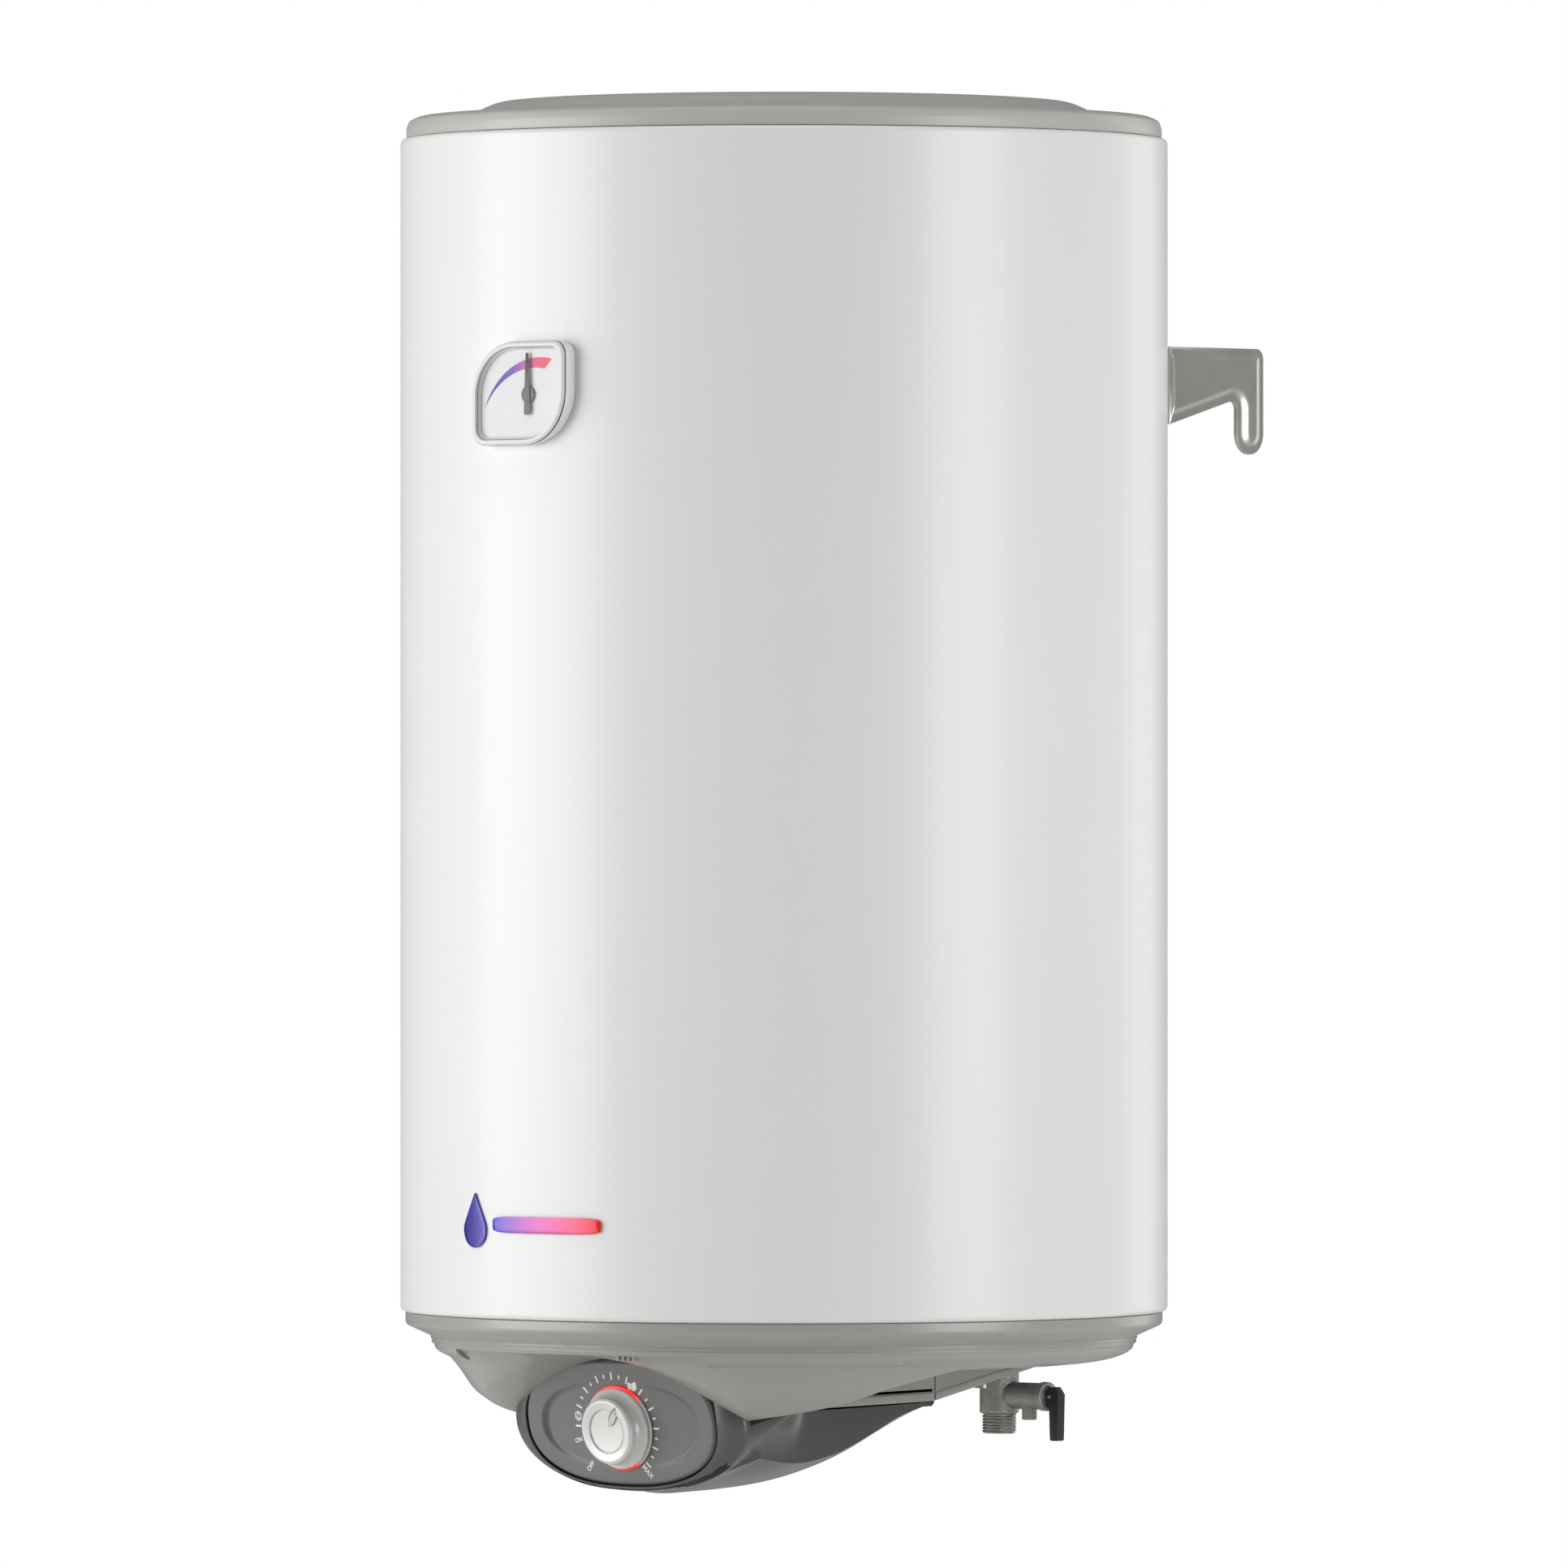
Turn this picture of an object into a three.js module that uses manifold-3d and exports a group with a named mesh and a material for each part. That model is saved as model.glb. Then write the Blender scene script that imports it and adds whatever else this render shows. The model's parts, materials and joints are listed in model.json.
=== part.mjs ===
// Wall-hung electric tank water heater, 80 litres, as an assembly of its separate pieces.
// Millimetres, +Z up. The wall is the plane Y = 0 and the front looks along -Y; the origin is on
// the wall, midway between the two hooks, at the height of the hook seats.
import * as THREE from 'three';
import { mergeVertices } from 'three/addons/utils/BufferGeometryUtils.js';
import Module from 'manifold-3d';

const wasm = await Module();
wasm.setup();

// ---------------------------------------------------------------- driving dimensions
const GAP = 0.3;                 // clearance between pieces that touch
const ROUND = 40;                // sides of a large turned piece
const SMALL = 14;                // sides of a small turned piece

const JACKET_R = 230;            // outer radius of the jacket
const JACKET_TOP = 156;          // height of the jacket's top edge above the hook seats
const JACKET_HEIGHT = 702;
const JACKET_WALL = 1.2;
const JACKET_ROLL = 3;           // radius of the rolled-in edges
const JACKET_TURN_IN = 6;        // how far the edges turn in
const WALL_GAP = 20;             // from the back of the jacket to the wall
const FOAM = 24.5;               // insulation between the jacket and the tank
const TANK_WALL = 2.5;
const TANK_DOME = 38;            // height of the domed tank ends
const TANK_END_GAP = 28;         // foam over and under the tank

const CAP_WALL = 2.5;
const CAP_INSET = 3.5;           // top cap band inside the jacket's outer radius
const CAP_RISE = 13;             // height of the top cap's band
const DOME_RISE = 22;            // height of the raised centre of the top cap
const DOME_R = 196;              // foot of the raised centre
const DOME_SLOPE = 28;           // width of its S-curved side
const SPIGOT = 8;                // how far the caps reach into the jacket

const STEP_R = 227;              // bottom cap: first step
const LIP_R = 210;               // bottom cap: lip under the slope
const LIP_DEPTH = 20;            // lip below the jacket's bottom edge
const BELLY_DEPTH = 30.5;        // flat underside below the jacket's bottom edge
const BELLY_R = 173;             // where the underside becomes flat
const BOWL_DEPTH = 60;           // bowl's lowest edge below the jacket's bottom edge
const BOWL_R = 164;              // bowl radius at that edge

const ISLAND_HALF = 78;          // half-width of the service cover under the bowl
const ISLAND_BACK = 172;         // its rear end behind the heater's axis
const COVER_WALL = 2.5;
const SCREW_X = 70;              // cover screws each side of the middle
const SCREW_Y = 100;             // and behind the heater's axis
const SCREW_HOLE_R = 2.4;
const SCREW_HEAD_R = 4;
const GLAND_Y = 118;             // cable gland behind the heater's axis
const GLAND_R = 9;
const GLAND_NUT_R = 12;
const CABLE_R = 4.5;
const STRIP_DEPTH = 54;          // lower edge of the cover's strip below the jacket, at its split
const SPLIT_Y = 48;              // where the dark shell ends and the tail begins
const POD_SIDE = 16.4;           // control pod's front beyond the fascia, at each side
const POD_OVER = 3.6;            // and over and under it
const POD_DEPTH = 65;            // centre of the pod below the jacket's bottom edge
const POD_RIM = 8.5;             // how far its outline lies behind the fascia plane
const KEEL_DEPTH = 106.5;        // lowest point of the dark shell
const POD_WALL = 3;

const FACE_Y = 146.6;            // fascia plane in front of the heater's axis
const FACE_TILT = 9.5;           // degrees the fascia looks down
const FASCIA_HALF_W = 74.6;
const FASCIA_HALF_H = 37.4;
const FASCIA_THICK = 4;
const FASCIA_CHAMFER = 3.2;
const FASCIA_LIFT = 2.8;         // fascia centre above the knob's axis
const RECESS_HALF_W = 63;
const RECESS_HALF_H = 27;
const RECESS_DEPTH = 3.2;

const KNOB_R = 24.3;
const KNOB_TOP_R = 19.8;
const KNOB_FACE_R = 12.8;
const KNOB_OUT = 13.7;           // how far the knob stands out of the fascia
const KNOB_FLOAT = 2.2;          // gap under its skirt
const SHAFT_R = 3;
const RING_R = 25.6;             // outer radius of the light ring
const RING_THICK = 1.4;
const POINTER_AT = 56.25;        // degrees, where the pointer rests

const GAUGE_HALF_W = 36.7;
const GAUGE_HALF_H = 30.65;
const GAUGE_PROUD = 7.5;         // front of the bezel in front of the jacket
const GAUGE_RIM = 3.4;
const GAUGE_SINK = 5;            // dial recess
const GAUGE_Z = 0;
const PIVOT_X = 5.7;
const PIVOT_UP = -0.8;
const BULB_R = 4;

const BADGE_UP = 56;             // badge centre above the jacket's bottom edge
const BADGE_ARC = 109;
const BADGE_TALL = 29;
const BADGE_THICK = 1.3;

const HOOK_X = 166;              // outer faces of the hook arms
const SHEET = 2.5;               // bracket sheet
const ARM_TOP = 32.4;            // arm's top edge above the hook seat
const LEG_BOTTOM = -31.4;
const LEG_WIDTH = 25;
const STRAP_HALF_H = 30;
const STRAP_HALF_ANGLE = 46;     // degrees round the back of the jacket
const EMBOSS = 2.2;
const EMBOSS_EDGE = 3.6;
const HANGER_BOLT_R = 5;
const HANGER_HEAD_R = 8.5;
const HANGER_ANGLE = 24;

const PIPE_X = 50;               // pipes each side of the middle
const PIPE_Y = 140;              // behind the heater's axis
const PIPE_R = 10.48;            // G1/2 outside
const PIPE_BORE = 8;
const PIPE_RING_R = 16;
const HOT_END = 61;              // hot nipple's end below the jacket's bottom edge
const DIP_R = 7.6;
const DIP_BORE = 6.4;

const FLANGE_R = 62;
const FLANGE_HOLE_R = 42;
const FLANGE_THICK = 5;
const FLANGE_Y = -12;
const FLANGE_BOLTS = 5;
const FLANGE_BOLT_PCR = 53;
const FLANGE_BOLT_R = 4;
const GASKET_THICK = 3;
const ELEMENT_R = 4.2;
const ELEMENT_TALL = 190;
const ANODE_R = 10.5;
const ANODE_TALL = 260;
const ANODE_STUD_R = 4;
const POCKET_R = 6;
const POCKET_TALL = 150;

const VALVE_WALL = 1.4;
const VALVE_TOP = 39.3;          // valve's top end below the jacket's bottom edge
const VALVE_BOTTOM = 64.6;
const THREAD_LENGTH = 12.1;
const POPPET_SEAT = 59.6;        // seat of the non-return poppet below the jacket's bottom edge
const POPPET_BORE = 5;           // bore under that seat
const VALVE_AXIS = 53.6;         // side branch axis below the jacket's bottom edge
const BRANCH_R = 8.1;
const BRANCH_BORE = 6;
const BRANCH_END = 39.3;         // branch's end from the valve's axis
const SPOUT_AT = 24;
const SPOUT_R = 4.5;
const SPOUT_BORE = 2.8;
const SPOUT_DEPTH = 68;
const STEM_R = 2;
const LEVER_PIN_AT = 42;
const LEVER_HALF_Y = 3.2;
const LEVER_OUT = 49.6;
const LEVER_TALL = 26.5;         // lever below its pin
const LEVER_SWING = 85;          // degrees
const STEM_TRAVEL = 3.5;
const SPRING_R = 3.9;            // to the middle of the spring's wire
const SPRING_WIRE_R = 0.6;

// ---------------------------------------------------------------- dependent sizes
const AXIS_Y = -(JACKET_R + WALL_GAP);
const BASE = JACKET_TOP - JACKET_HEIGHT;          // jacket's bottom edge
const JACKET_MOUTH = JACKET_R - JACKET_TURN_IN;
const SPIGOT_R = JACKET_MOUTH - 0.5;
const POD_HALF_W = FASCIA_HALF_W + POD_SIDE;
const POD_HALF_H = FASCIA_HALF_H + POD_OVER;
const VALVE_R = PIPE_R + VALVE_WALL;
const RELIEF_SEAT = PIPE_R + 1;                   // relief seat from the valve's axis
const TANK_R = JACKET_R - JACKET_WALL - FOAM;
const TANK_TOP = JACKET_TOP - TANK_END_GAP;
const TANK_BOTTOM = BASE + TANK_END_GAP;
const FLANGE_SEAT = TANK_BOTTOM - 6;              // underside of the tank's flange neck
const FLANGE_UNDER = FLANGE_SEAT - GASKET_THICK - FLANGE_THICK - 2 * GAP;
const BELLY_Z = BASE - BELLY_DEPTH;
const LIP_Z = BASE - LIP_DEPTH;
const BOWL_Z = BASE - BOWL_DEPTH;
const POD_Z = BASE - POD_DEPTH;
const STRIP_Z = BASE - STRIP_DEPTH;
const KEEL_Z = BASE - KEEL_DEPTH;
const KNOB_Z = POD_Z - 0.8;
const PIPE_TOP = TANK_BOTTOM + 20;
const STRAP_R = JACKET_R + GAP;
const FOOT_R = STRAP_R + SHEET + GAP;

// ---------------------------------------------------------------- making solids
const rad = THREE.MathUtils.degToRad;

function signedVolume(points, faces) {
  let sum = 0;
  const a = new THREE.Vector3();
  const b = new THREE.Vector3();
  const c = new THREE.Vector3();
  for (let i = 0; i < faces.length; i += 3) {
    a.fromArray(points, faces[i] * 3);
    b.fromArray(points, faces[i + 1] * 3);
    c.fromArray(points, faces[i + 2] * 3);
    sum += a.dot(b.cross(c));
  }
  return sum;
}

// A closed geometry becomes a solid: corners are merged, collapsed faces dropped, faces turned out.
function solid(geometry) {
  geometry.deleteAttribute('normal');
  geometry.deleteAttribute('uv');
  const merged = mergeVertices(geometry, 1e-4);
  const points = merged.attributes.position.array;
  const index = merged.index.array;
  const faces = [];
  for (let i = 0; i < index.length; i += 3) {
    const [a, b, c] = [index[i], index[i + 1], index[i + 2]];
    if (a !== b && b !== c && c !== a) {
      faces.push(a, b, c);
    }
  }
  if (signedVolume(points, faces) < 0) {
    for (let i = 0; i < faces.length; i += 3) {
      [faces[i], faces[i + 1]] = [faces[i + 1], faces[i]];
    }
  }
  const mesh = new wasm.Mesh({
    numProp: 3,
    vertProperties: new Float32Array(points),
    triVerts: new Uint32Array(faces),
  });
  return new wasm.Manifold(mesh);
}

// A turned solid about Z. The profile is a list of [radius, height].
function turned(profile, sides = ROUND) {
  const points = profile.map(([r, z]) => new THREE.Vector2(r, z));
  return solid(new THREE.LatheGeometry(points, sides).rotateX(Math.PI / 2));
}

function rod(radius, low, high, sides = SMALL) {
  return turned([[0, low], [radius, low], [radius, high], [0, high]], sides);
}

function tube(radius, bore, low, high, sides = SMALL) {
  return turned([[bore, low], [radius, low], [radius, high], [bore, high], [bore, low]], sides);
}

function box(x0, x1, y0, y1, z0, z1) {
  const made = new THREE.BoxGeometry(x1 - x0, y1 - y0, z1 - z0);
  made.translate((x0 + x1) / 2, (y0 + y1) / 2, (z0 + z1) / 2);
  return solid(made);
}

// A flat outline of [x, y] points, pushed along Z.
function plate(outline, low, high) {
  const shape = new THREE.Shape(outline.map(([x, y]) => new THREE.Vector2(x, y)));
  const made = new THREE.ExtrudeGeometry(shape, { depth: high - low, bevelEnabled: false, curveSegments: 1 });
  made.translate(0, 0, low);
  return solid(made);
}

// Loops of equal length, each a list of [x, y, z], skinned one to the next and closed at both ends.
function skinned(loops) {
  const count = loops[0].length;
  const points = loops.flat();
  const faces = [];
  for (let ring = 0; ring + 1 < loops.length; ring += 1) {
    for (let i = 0; i < count; i += 1) {
      const a = ring * count + i;
      const b = ring * count + (i + 1) % count;
      faces.push(a, b, b + count, a, b + count, a + count);
    }
  }
  for (const ring of [0, loops.length - 1]) {
    const loop = loops[ring];
    const middle = [0, 1, 2].map((k) => loop.reduce((sum, p) => sum + p[k], 0) / count);
    points.push(middle);
    for (let i = 0; i < count; i += 1) {
      const a = ring * count + i;
      const b = ring * count + (i + 1) % count;
      faces.push(...(ring === 0 ? [b, a, points.length - 1] : [a, b, points.length - 1]));
    }
  }
  const made = new THREE.BufferGeometry();
  made.setAttribute('position', new THREE.Float32BufferAttribute(points.flat(), 3));
  made.setIndex(faces);
  return solid(made);
}

// A round bar along a path, with flat ends.
function bar(path, radius, sides, steps) {
  const section = new THREE.Shape();
  for (let i = 0; i < sides; i += 1) {
    const a = 2 * Math.PI * i / sides;
    const p = [radius * Math.cos(a), radius * Math.sin(a)];
    if (i === 0) {
      section.moveTo(...p);
    } else {
      section.lineTo(...p);
    }
  }
  return solid(new THREE.ExtrudeGeometry(section, { steps, extrudePath: path, bevelEnabled: false }));
}

// A sector of a ring round the heater's axis; angles in degrees from straight back.
function backBand(inner, outer, from, to, low, high, steps) {
  const outline = [];
  for (let i = 0; i <= steps; i += 1) {
    const a = rad(from + (to - from) * i / steps);
    outline.push([outer * Math.sin(a), outer * Math.cos(a)]);
  }
  for (let i = steps; i >= 0; i -= 1) {
    const a = rad(from + (to - from) * i / steps);
    outline.push([inner * Math.sin(a), inner * Math.cos(a)]);
  }
  return plate(outline, low, high);
}

// Height read off a curve given as [position, height] pairs in order of position.
function along(curve, at) {
  if (at <= curve[0][0]) {
    return curve[0][1];
  }
  for (let i = 1; i < curve.length; i += 1) {
    const [x1, y1] = curve[i];
    const [x0, y0] = curve[i - 1];
    if (at <= x1) {
      return y0 + (y1 - y0) * (at - x0) / (x1 - x0);
    }
  }
  return curve[curve.length - 1][1];
}

function superEllipse(halfW, halfH, power, count, cx = 0, cy = 0) {
  const outline = [];
  for (let i = 0; i < count; i += 1) {
    const a = 2 * Math.PI * i / count;
    const c = Math.cos(a);
    const s = Math.sin(a);
    const x = halfW * Math.sign(c) * Math.abs(c) ** (2 / power);
    const y = halfH * Math.sign(s) * Math.abs(s) ** (2 / power);
    outline.push([cx + x, cy + y]);
  }
  return outline;
}

// ---------------------------------------------------------------- scene helpers
const group = new THREE.Group();
const heater = new THREE.Group();
heater.position.set(0, AXIS_Y, 0);
group.add(heater);

function finish(color, roughness, metalness = 0) {
  return { color, roughness, metalness };
}

const WHITE_ENAMEL = finish(0xf2f2f0, 0.25);
const LIGHT_GREY = finish(0xb0b1ac, 0.4);
const MID_GREY = finish(0x9c9d98, 0.38);
const DARK_SHELL = finish(0x5b5b59, 0.4);
const FASCIA_GREY = finish(0x747472, 0.45);
const PEARL = finish(0xe6e6e4, 0.3, 0.1);
const RED_LIGHT = finish(0xff1200, 0.35);
const BEZEL = finish(0xe3e4e1, 0.35);
const DIAL = finish(0xf0f0f0, 0.6);
const NEEDLE = finish(0x606060, 0.4);
const CLEAR = finish(0xf4f7f8, 0.05);
const ZINC = finish(0x9a9b95, 0.35, 0.9);
const STEEL = finish(0xb9bbbd, 0.3, 0.9);
const NICKEL = finish(0xa8a7a2, 0.42, 0.9);
const COPPER = finish(0xb87848, 0.35, 0.9);
const ENAMEL = finish(0x3b5266, 0.35);
const FOAM_YELLOW = finish(0xe2cf9a, 0.95);
const RUBBER = finish(0x2c2c2c, 0.8);
const BLACK = finish(0x2b292c, 0.5);
const BLUE = finish(0x2a5fc4, 0.5);
const RED = finish(0xc8362c, 0.5);
const CIRCUIT = finish(0x2f6b3f, 0.6);
const MAGNESIUM = finish(0x9fa1a3, 0.6, 0.6);

function place(name, body, look, parent = heater) {
  const made = body.getMesh();
  const geometry = new THREE.BufferGeometry();
  geometry.setAttribute('position', new THREE.BufferAttribute(new Float32Array(made.vertProperties), 3));
  geometry.setIndex(new THREE.BufferAttribute(new Uint32Array(made.triVerts), 1));
  geometry.computeVertexNormals();
  const mesh = new THREE.Mesh(geometry, new THREE.MeshStandardMaterial(look));
  mesh.name = name;
  parent.add(mesh);
  return mesh;
}

// ---------------------------------------------------------------- holes that several pieces share
function radialHole(radius, angle, z, from, to) {
  return rod(radius, from, to, 12).rotate([-90, 0, -angle]).translate([0, 0, z]);
}

const gaugeHole = rod(BULB_R + 1.5, TANK_R - 10, JACKET_R + 30, 12)
  .rotate([90, 0, 0]).translate([PIVOT_X, 0, GAUGE_Z + PIVOT_UP]);
const hangerHoles = radialHole(HANGER_BOLT_R + 0.6, HANGER_ANGLE, 0, TANK_R - 10, JACKET_R + 30)
  .add(radialHole(HANGER_BOLT_R + 0.6, -HANGER_ANGLE, 0, TANK_R - 10, JACKET_R + 30));

function screwHoles(low, high) {
  return rod(SCREW_HOLE_R, low, high, 10).translate([SCREW_X, SCREW_Y, 0])
    .add(rod(SCREW_HOLE_R, low, high, 10).translate([-SCREW_X, SCREW_Y, 0]));
}

function pipeHoles(radius, low, high) {
  return rod(radius, low, high).translate([PIPE_X, PIPE_Y, 0])
    .add(rod(radius, low, high).translate([-PIPE_X, PIPE_Y, 0]));
}

// ---------------------------------------------------------------- jacket and caps
function jacket() {
  const inner = JACKET_R - JACKET_WALL;
  const profile = [
    [JACKET_MOUTH, BASE],
    [JACKET_R - JACKET_ROLL, BASE],
    [JACKET_R, BASE + JACKET_ROLL],
    [JACKET_R, JACKET_TOP - JACKET_ROLL],
    [JACKET_R - JACKET_ROLL, JACKET_TOP],
    [JACKET_MOUTH, JACKET_TOP],
    [JACKET_MOUTH, JACKET_TOP - JACKET_WALL],
    [inner, JACKET_TOP - JACKET_ROLL],
    [inner, BASE + JACKET_ROLL],
    [JACKET_MOUTH, BASE + JACKET_WALL],
    [JACKET_MOUTH, BASE],
  ];
  return turned(profile).subtract(gaugeHole).subtract(hangerHoles);
}

function topCap() {
  const band = JACKET_R - CAP_INSET;
  const z = JACKET_TOP;
  const dome = DOME_R - DOME_SLOPE;
  return turned([
    [0, z + DOME_RISE],
    [dome, z + DOME_RISE],
    [dome + DOME_SLOPE * 0.3, z + DOME_RISE - 1.9],
    [dome + DOME_SLOPE * 0.7, z + CAP_RISE + 1.9],
    [DOME_R, z + CAP_RISE],
    [band - 7, z + CAP_RISE],
    [band - 2.3, z + CAP_RISE - 1.5],
    [band, z + CAP_RISE - 5.5],
    [band, z + GAP],
    [SPIGOT_R, z + GAP],
    [SPIGOT_R, z - SPIGOT],
    [SPIGOT_R - CAP_WALL, z - SPIGOT],
    [SPIGOT_R - CAP_WALL, z + CAP_RISE - CAP_WALL],
    [DOME_R - 1, z + CAP_RISE - CAP_WALL],
    [dome - 1, z + DOME_RISE - CAP_WALL],
    [0, z + DOME_RISE - CAP_WALL],
  ]);
}

// Outside of the bottom cap from the step to the flat underside; grow moves it out and down.
function bellyCurve(grow) {
  const span = LIP_R - 0.3 - BELLY_R;
  const drop = BELLY_DEPTH - LIP_DEPTH;
  const curve = [];
  for (let i = 0; i <= 4; i += 1) {
    const t = i / 4;
    const r = BELLY_R + span * Math.cos(t * Math.PI / 2) + grow;
    curve.push([r, LIP_Z - drop * Math.sin(t * Math.PI / 2) - grow]);
  }
  return curve;
}

function bottomCap() {
  const outside = [
    [SPIGOT_R, BASE - GAP],
    [STEP_R, BASE - GAP],
    [STEP_R, BASE - 5.9],
    [STEP_R - 1.9, BASE - 9.5],
    [LIP_R + 1.5, BASE - 15.1],
    [LIP_R + 0.8, BASE - 18.9],
  ];
  const outer = [...outside, ...bellyCurve(0)];
  const shell = turned([
    [0, BELLY_Z],
    ...[...outer].reverse(),
    [SPIGOT_R, BASE + SPIGOT],
    [SPIGOT_R - CAP_WALL, BASE + SPIGOT],
    [SPIGOT_R - CAP_WALL, BASE - 7],
    [LIP_R - CAP_WALL, BASE - 12.5],
    ...bellyCurve(-CAP_WALL).slice(1),
    [0, BELLY_Z + CAP_WALL],
  ]);
  const wayIn = box(-64, 64, -125, ISLAND_BACK - 14, BELLY_Z - 5, BASE);
  const podRoom = box(-POD_HALF_W - 5, POD_HALF_W + 5, -FACE_Y - 12, -110, BELLY_Z - 5, BELLY_Z + 12);
  return shell.subtract(wayIn).subtract(podRoom).subtract(screwHoles(BELLY_Z - 5, BASE));
}

// ---------------------------------------------------------------- lower cover
// The bowl's wall runs from the lip down to an edge. In front, the edge is the pod's upper outline;
// at the sides it climbs the wall of the bowl; at the back it meets the lip.
const BOWL_SHAPE = [[0, 0], [0.145, 0.146], [0.295, 0.268], [0.425, 0.353], [0.59, 0.452],
  [0.7, 0.537], [0.79, 0.646], [0.877, 0.76], [0.95, 0.89], [1, 1]];
const TIP_ANGLE = THREE.MathUtils.radToDeg(Math.atan2(POD_HALF_W, FACE_Y - 10));
const BOWL_END = 86;             // degrees from the front, where the bowl runs out
const BOWL_TOP_R = LIP_R - 1.6;  // bowl's wall where it leaves the lip
const BOWL_TUCK = 10;            // how far its end is tucked in behind the lip
const EDGE_CLIMB = [[TIP_ANGLE, 0], [48, 0.19], [56, 0.375], [60, 0.5], [74, 0.81], [86, 1]];

function bowlRadius(z) {
  const t = (LIP_Z - z) / (LIP_Z - BOWL_Z);
  return BOWL_TOP_R - (BOWL_TOP_R - BOWL_R) * along(BOWL_SHAPE, t);
}

function bowlEdge(angle) {
  const size = Math.abs(angle);
  if (size >= BOWL_END) {
    return [BOWL_TOP_R - BOWL_TUCK, LIP_Z - 1];
  }
  if (size >= TIP_ANGLE) {
    const z = Math.min(BOWL_Z + (LIP_Z - BOWL_Z) * along(EDGE_CLIMB, size), LIP_Z - 1);
    return [bowlRadius(z), z];
  }
  const x = POD_HALF_W * Math.sin(size / TIP_ANGLE * Math.PI / 2);
  const up = Math.sqrt(1 - (x / POD_HALF_W) ** 2);
  const y = FACE_Y - 10 * (1 - up * 0.9);
  return [Math.hypot(x, y), BOWL_Z + up * (POD_Z + POD_HALF_H - BOWL_Z)];
}

function bowl(inset) {
  const rows = 5;
  const steps = 48;
  const loops = [];
  const ring = (pick) => {
    const loop = [];
    for (let i = 0; i < steps; i += 1) {
      const angle = -180 + 360 * i / steps;
      const [r, z] = pick(angle);
      loop.push([r * Math.sin(rad(angle)), -r * Math.cos(rad(angle)), z]);
    }
    return loop;
  };
  loops.push(ring((angle) => {
    const tuck = Math.abs(angle) >= BOWL_END ? BOWL_TUCK : 0;
    return [BOWL_TOP_R - inset - tuck, LIP_Z + 20];
  }));
  for (let row = 0; row <= rows; row += 1) {
    loops.push(ring((angle) => {
      const [edgeR, edgeZ] = bowlEdge(angle);
      const t = row / rows;
      const z = LIP_Z + (edgeZ - LIP_Z) * t;
      const far = Math.abs(angle) >= TIP_ANGLE;
      const r = far ? bowlRadius(z) : BOWL_TOP_R + (edgeR - BOWL_TOP_R) * along(BOWL_SHAPE, t);
      return [Math.abs(angle) >= BOWL_END ? edgeR - inset : r - inset, z + inset];
    }));
  }
  const floor = BELLY_Z - 4 + inset;
  loops.push(ring((angle) => {
    const [edgeR, edgeZ] = bowlEdge(angle);
    return [(edgeR - inset) * 0.5, Math.min(floor, (edgeZ + inset) * 0.5 + floor * 0.5)];
  }));
  return skinned(loops);
}

// Lower edge of the service cover seen from the side: nearly level, then rising to the rear.
function islandBottom(y) {
  return along([[-140, STRIP_Z - 2.5], [SPLIT_Y, STRIP_Z], [ISLAND_BACK, BELLY_Z]], y);
}

// The space under the cover's side outline, from its lower edge up to a height, pushed across X.
function sideways(outline, half) {
  return plate(outline, -half, half).rotate([90, 0, 90]);
}

function island(inset) {
  const outline = [
    [-120, islandBottom(-120) + inset],
    [SPLIT_Y, islandBottom(SPLIT_Y) + inset],
    [ISLAND_BACK - inset * 3, islandBottom(ISLAND_BACK - inset * 3) + inset],
    [ISLAND_BACK - inset * 3, BELLY_Z + 6],
    [-120, BELLY_Z + 6],
  ];
  return sideways(outline, ISLAND_HALF - inset);
}

function bellyRoom() {
  const curve = bellyCurve(GAP);
  return turned([
    [0, BELLY_Z - GAP],
    ...[...curve].reverse(),
    [LIP_R + 20, LIP_Z - GAP],
    [LIP_R + 20, BASE],
    [0, BASE],
  ]);
}

// ---------------------------------------------------------------- control pod
// Height of the shell's side edge (chine) and of its middle (keel), by distance behind the axis.
const CHINE = [
  [-134, POD_Z - 12], [-105, POD_Z - 19], [-75, POD_Z - 22], [-44, POD_Z - 18],
  [-24, POD_Z - 12], [-3, POD_Z - 4.5], [14, POD_Z + 2.5], [SPLIT_Y, STRIP_Z - 0.5],
];
const KEEL = [
  [-132, KEEL_Z], [-63, KEEL_Z + 2.3], [-23, KEEL_Z + 7], [10, KEEL_Z + 15],
  [30, STRIP_Z - 25], [SPLIT_Y, STRIP_Z - 3],
];
// Half-width of the shell at its top edge and at its chine.
const FLARE = [
  [-132, POD_HALF_W + 1], [-118, POD_HALF_W + 21], [-104, POD_HALF_W + 13],
  [-88, POD_HALF_W - 3], [-70, ISLAND_HALF], [SPLIT_Y, ISLAND_HALF],
];
const CHINE_HALF = [
  [-134, POD_HALF_W - 5], [-118, POD_HALF_W - 10], [-75, ISLAND_HALF], [SPLIT_Y, ISLAND_HALF],
];
const TOP_EDGE = [
  [-132, BOWL_Z + 1], [-118, BOWL_Z + 7], [-95, BOWL_Z + 5.5],
  [-60, STRIP_Z - 2.3], [SPLIT_Y, STRIP_Z - GAP],
];
const POD_STEPS = 32;

function podFront(halfW, halfH, behind, inset, power, centre = POD_Z - KNOB_Z) {
  const tilt = rad(FACE_TILT);
  return superEllipse(halfW - inset, halfH - inset, power, POD_STEPS).map(([x, up]) => {
    const lift = up + centre;
    return [x, -FACE_Y - lift * Math.sin(tilt) + behind * Math.cos(tilt),
      KNOB_Z + lift * Math.cos(tilt) + behind * Math.sin(tilt)];
  });
}

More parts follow.
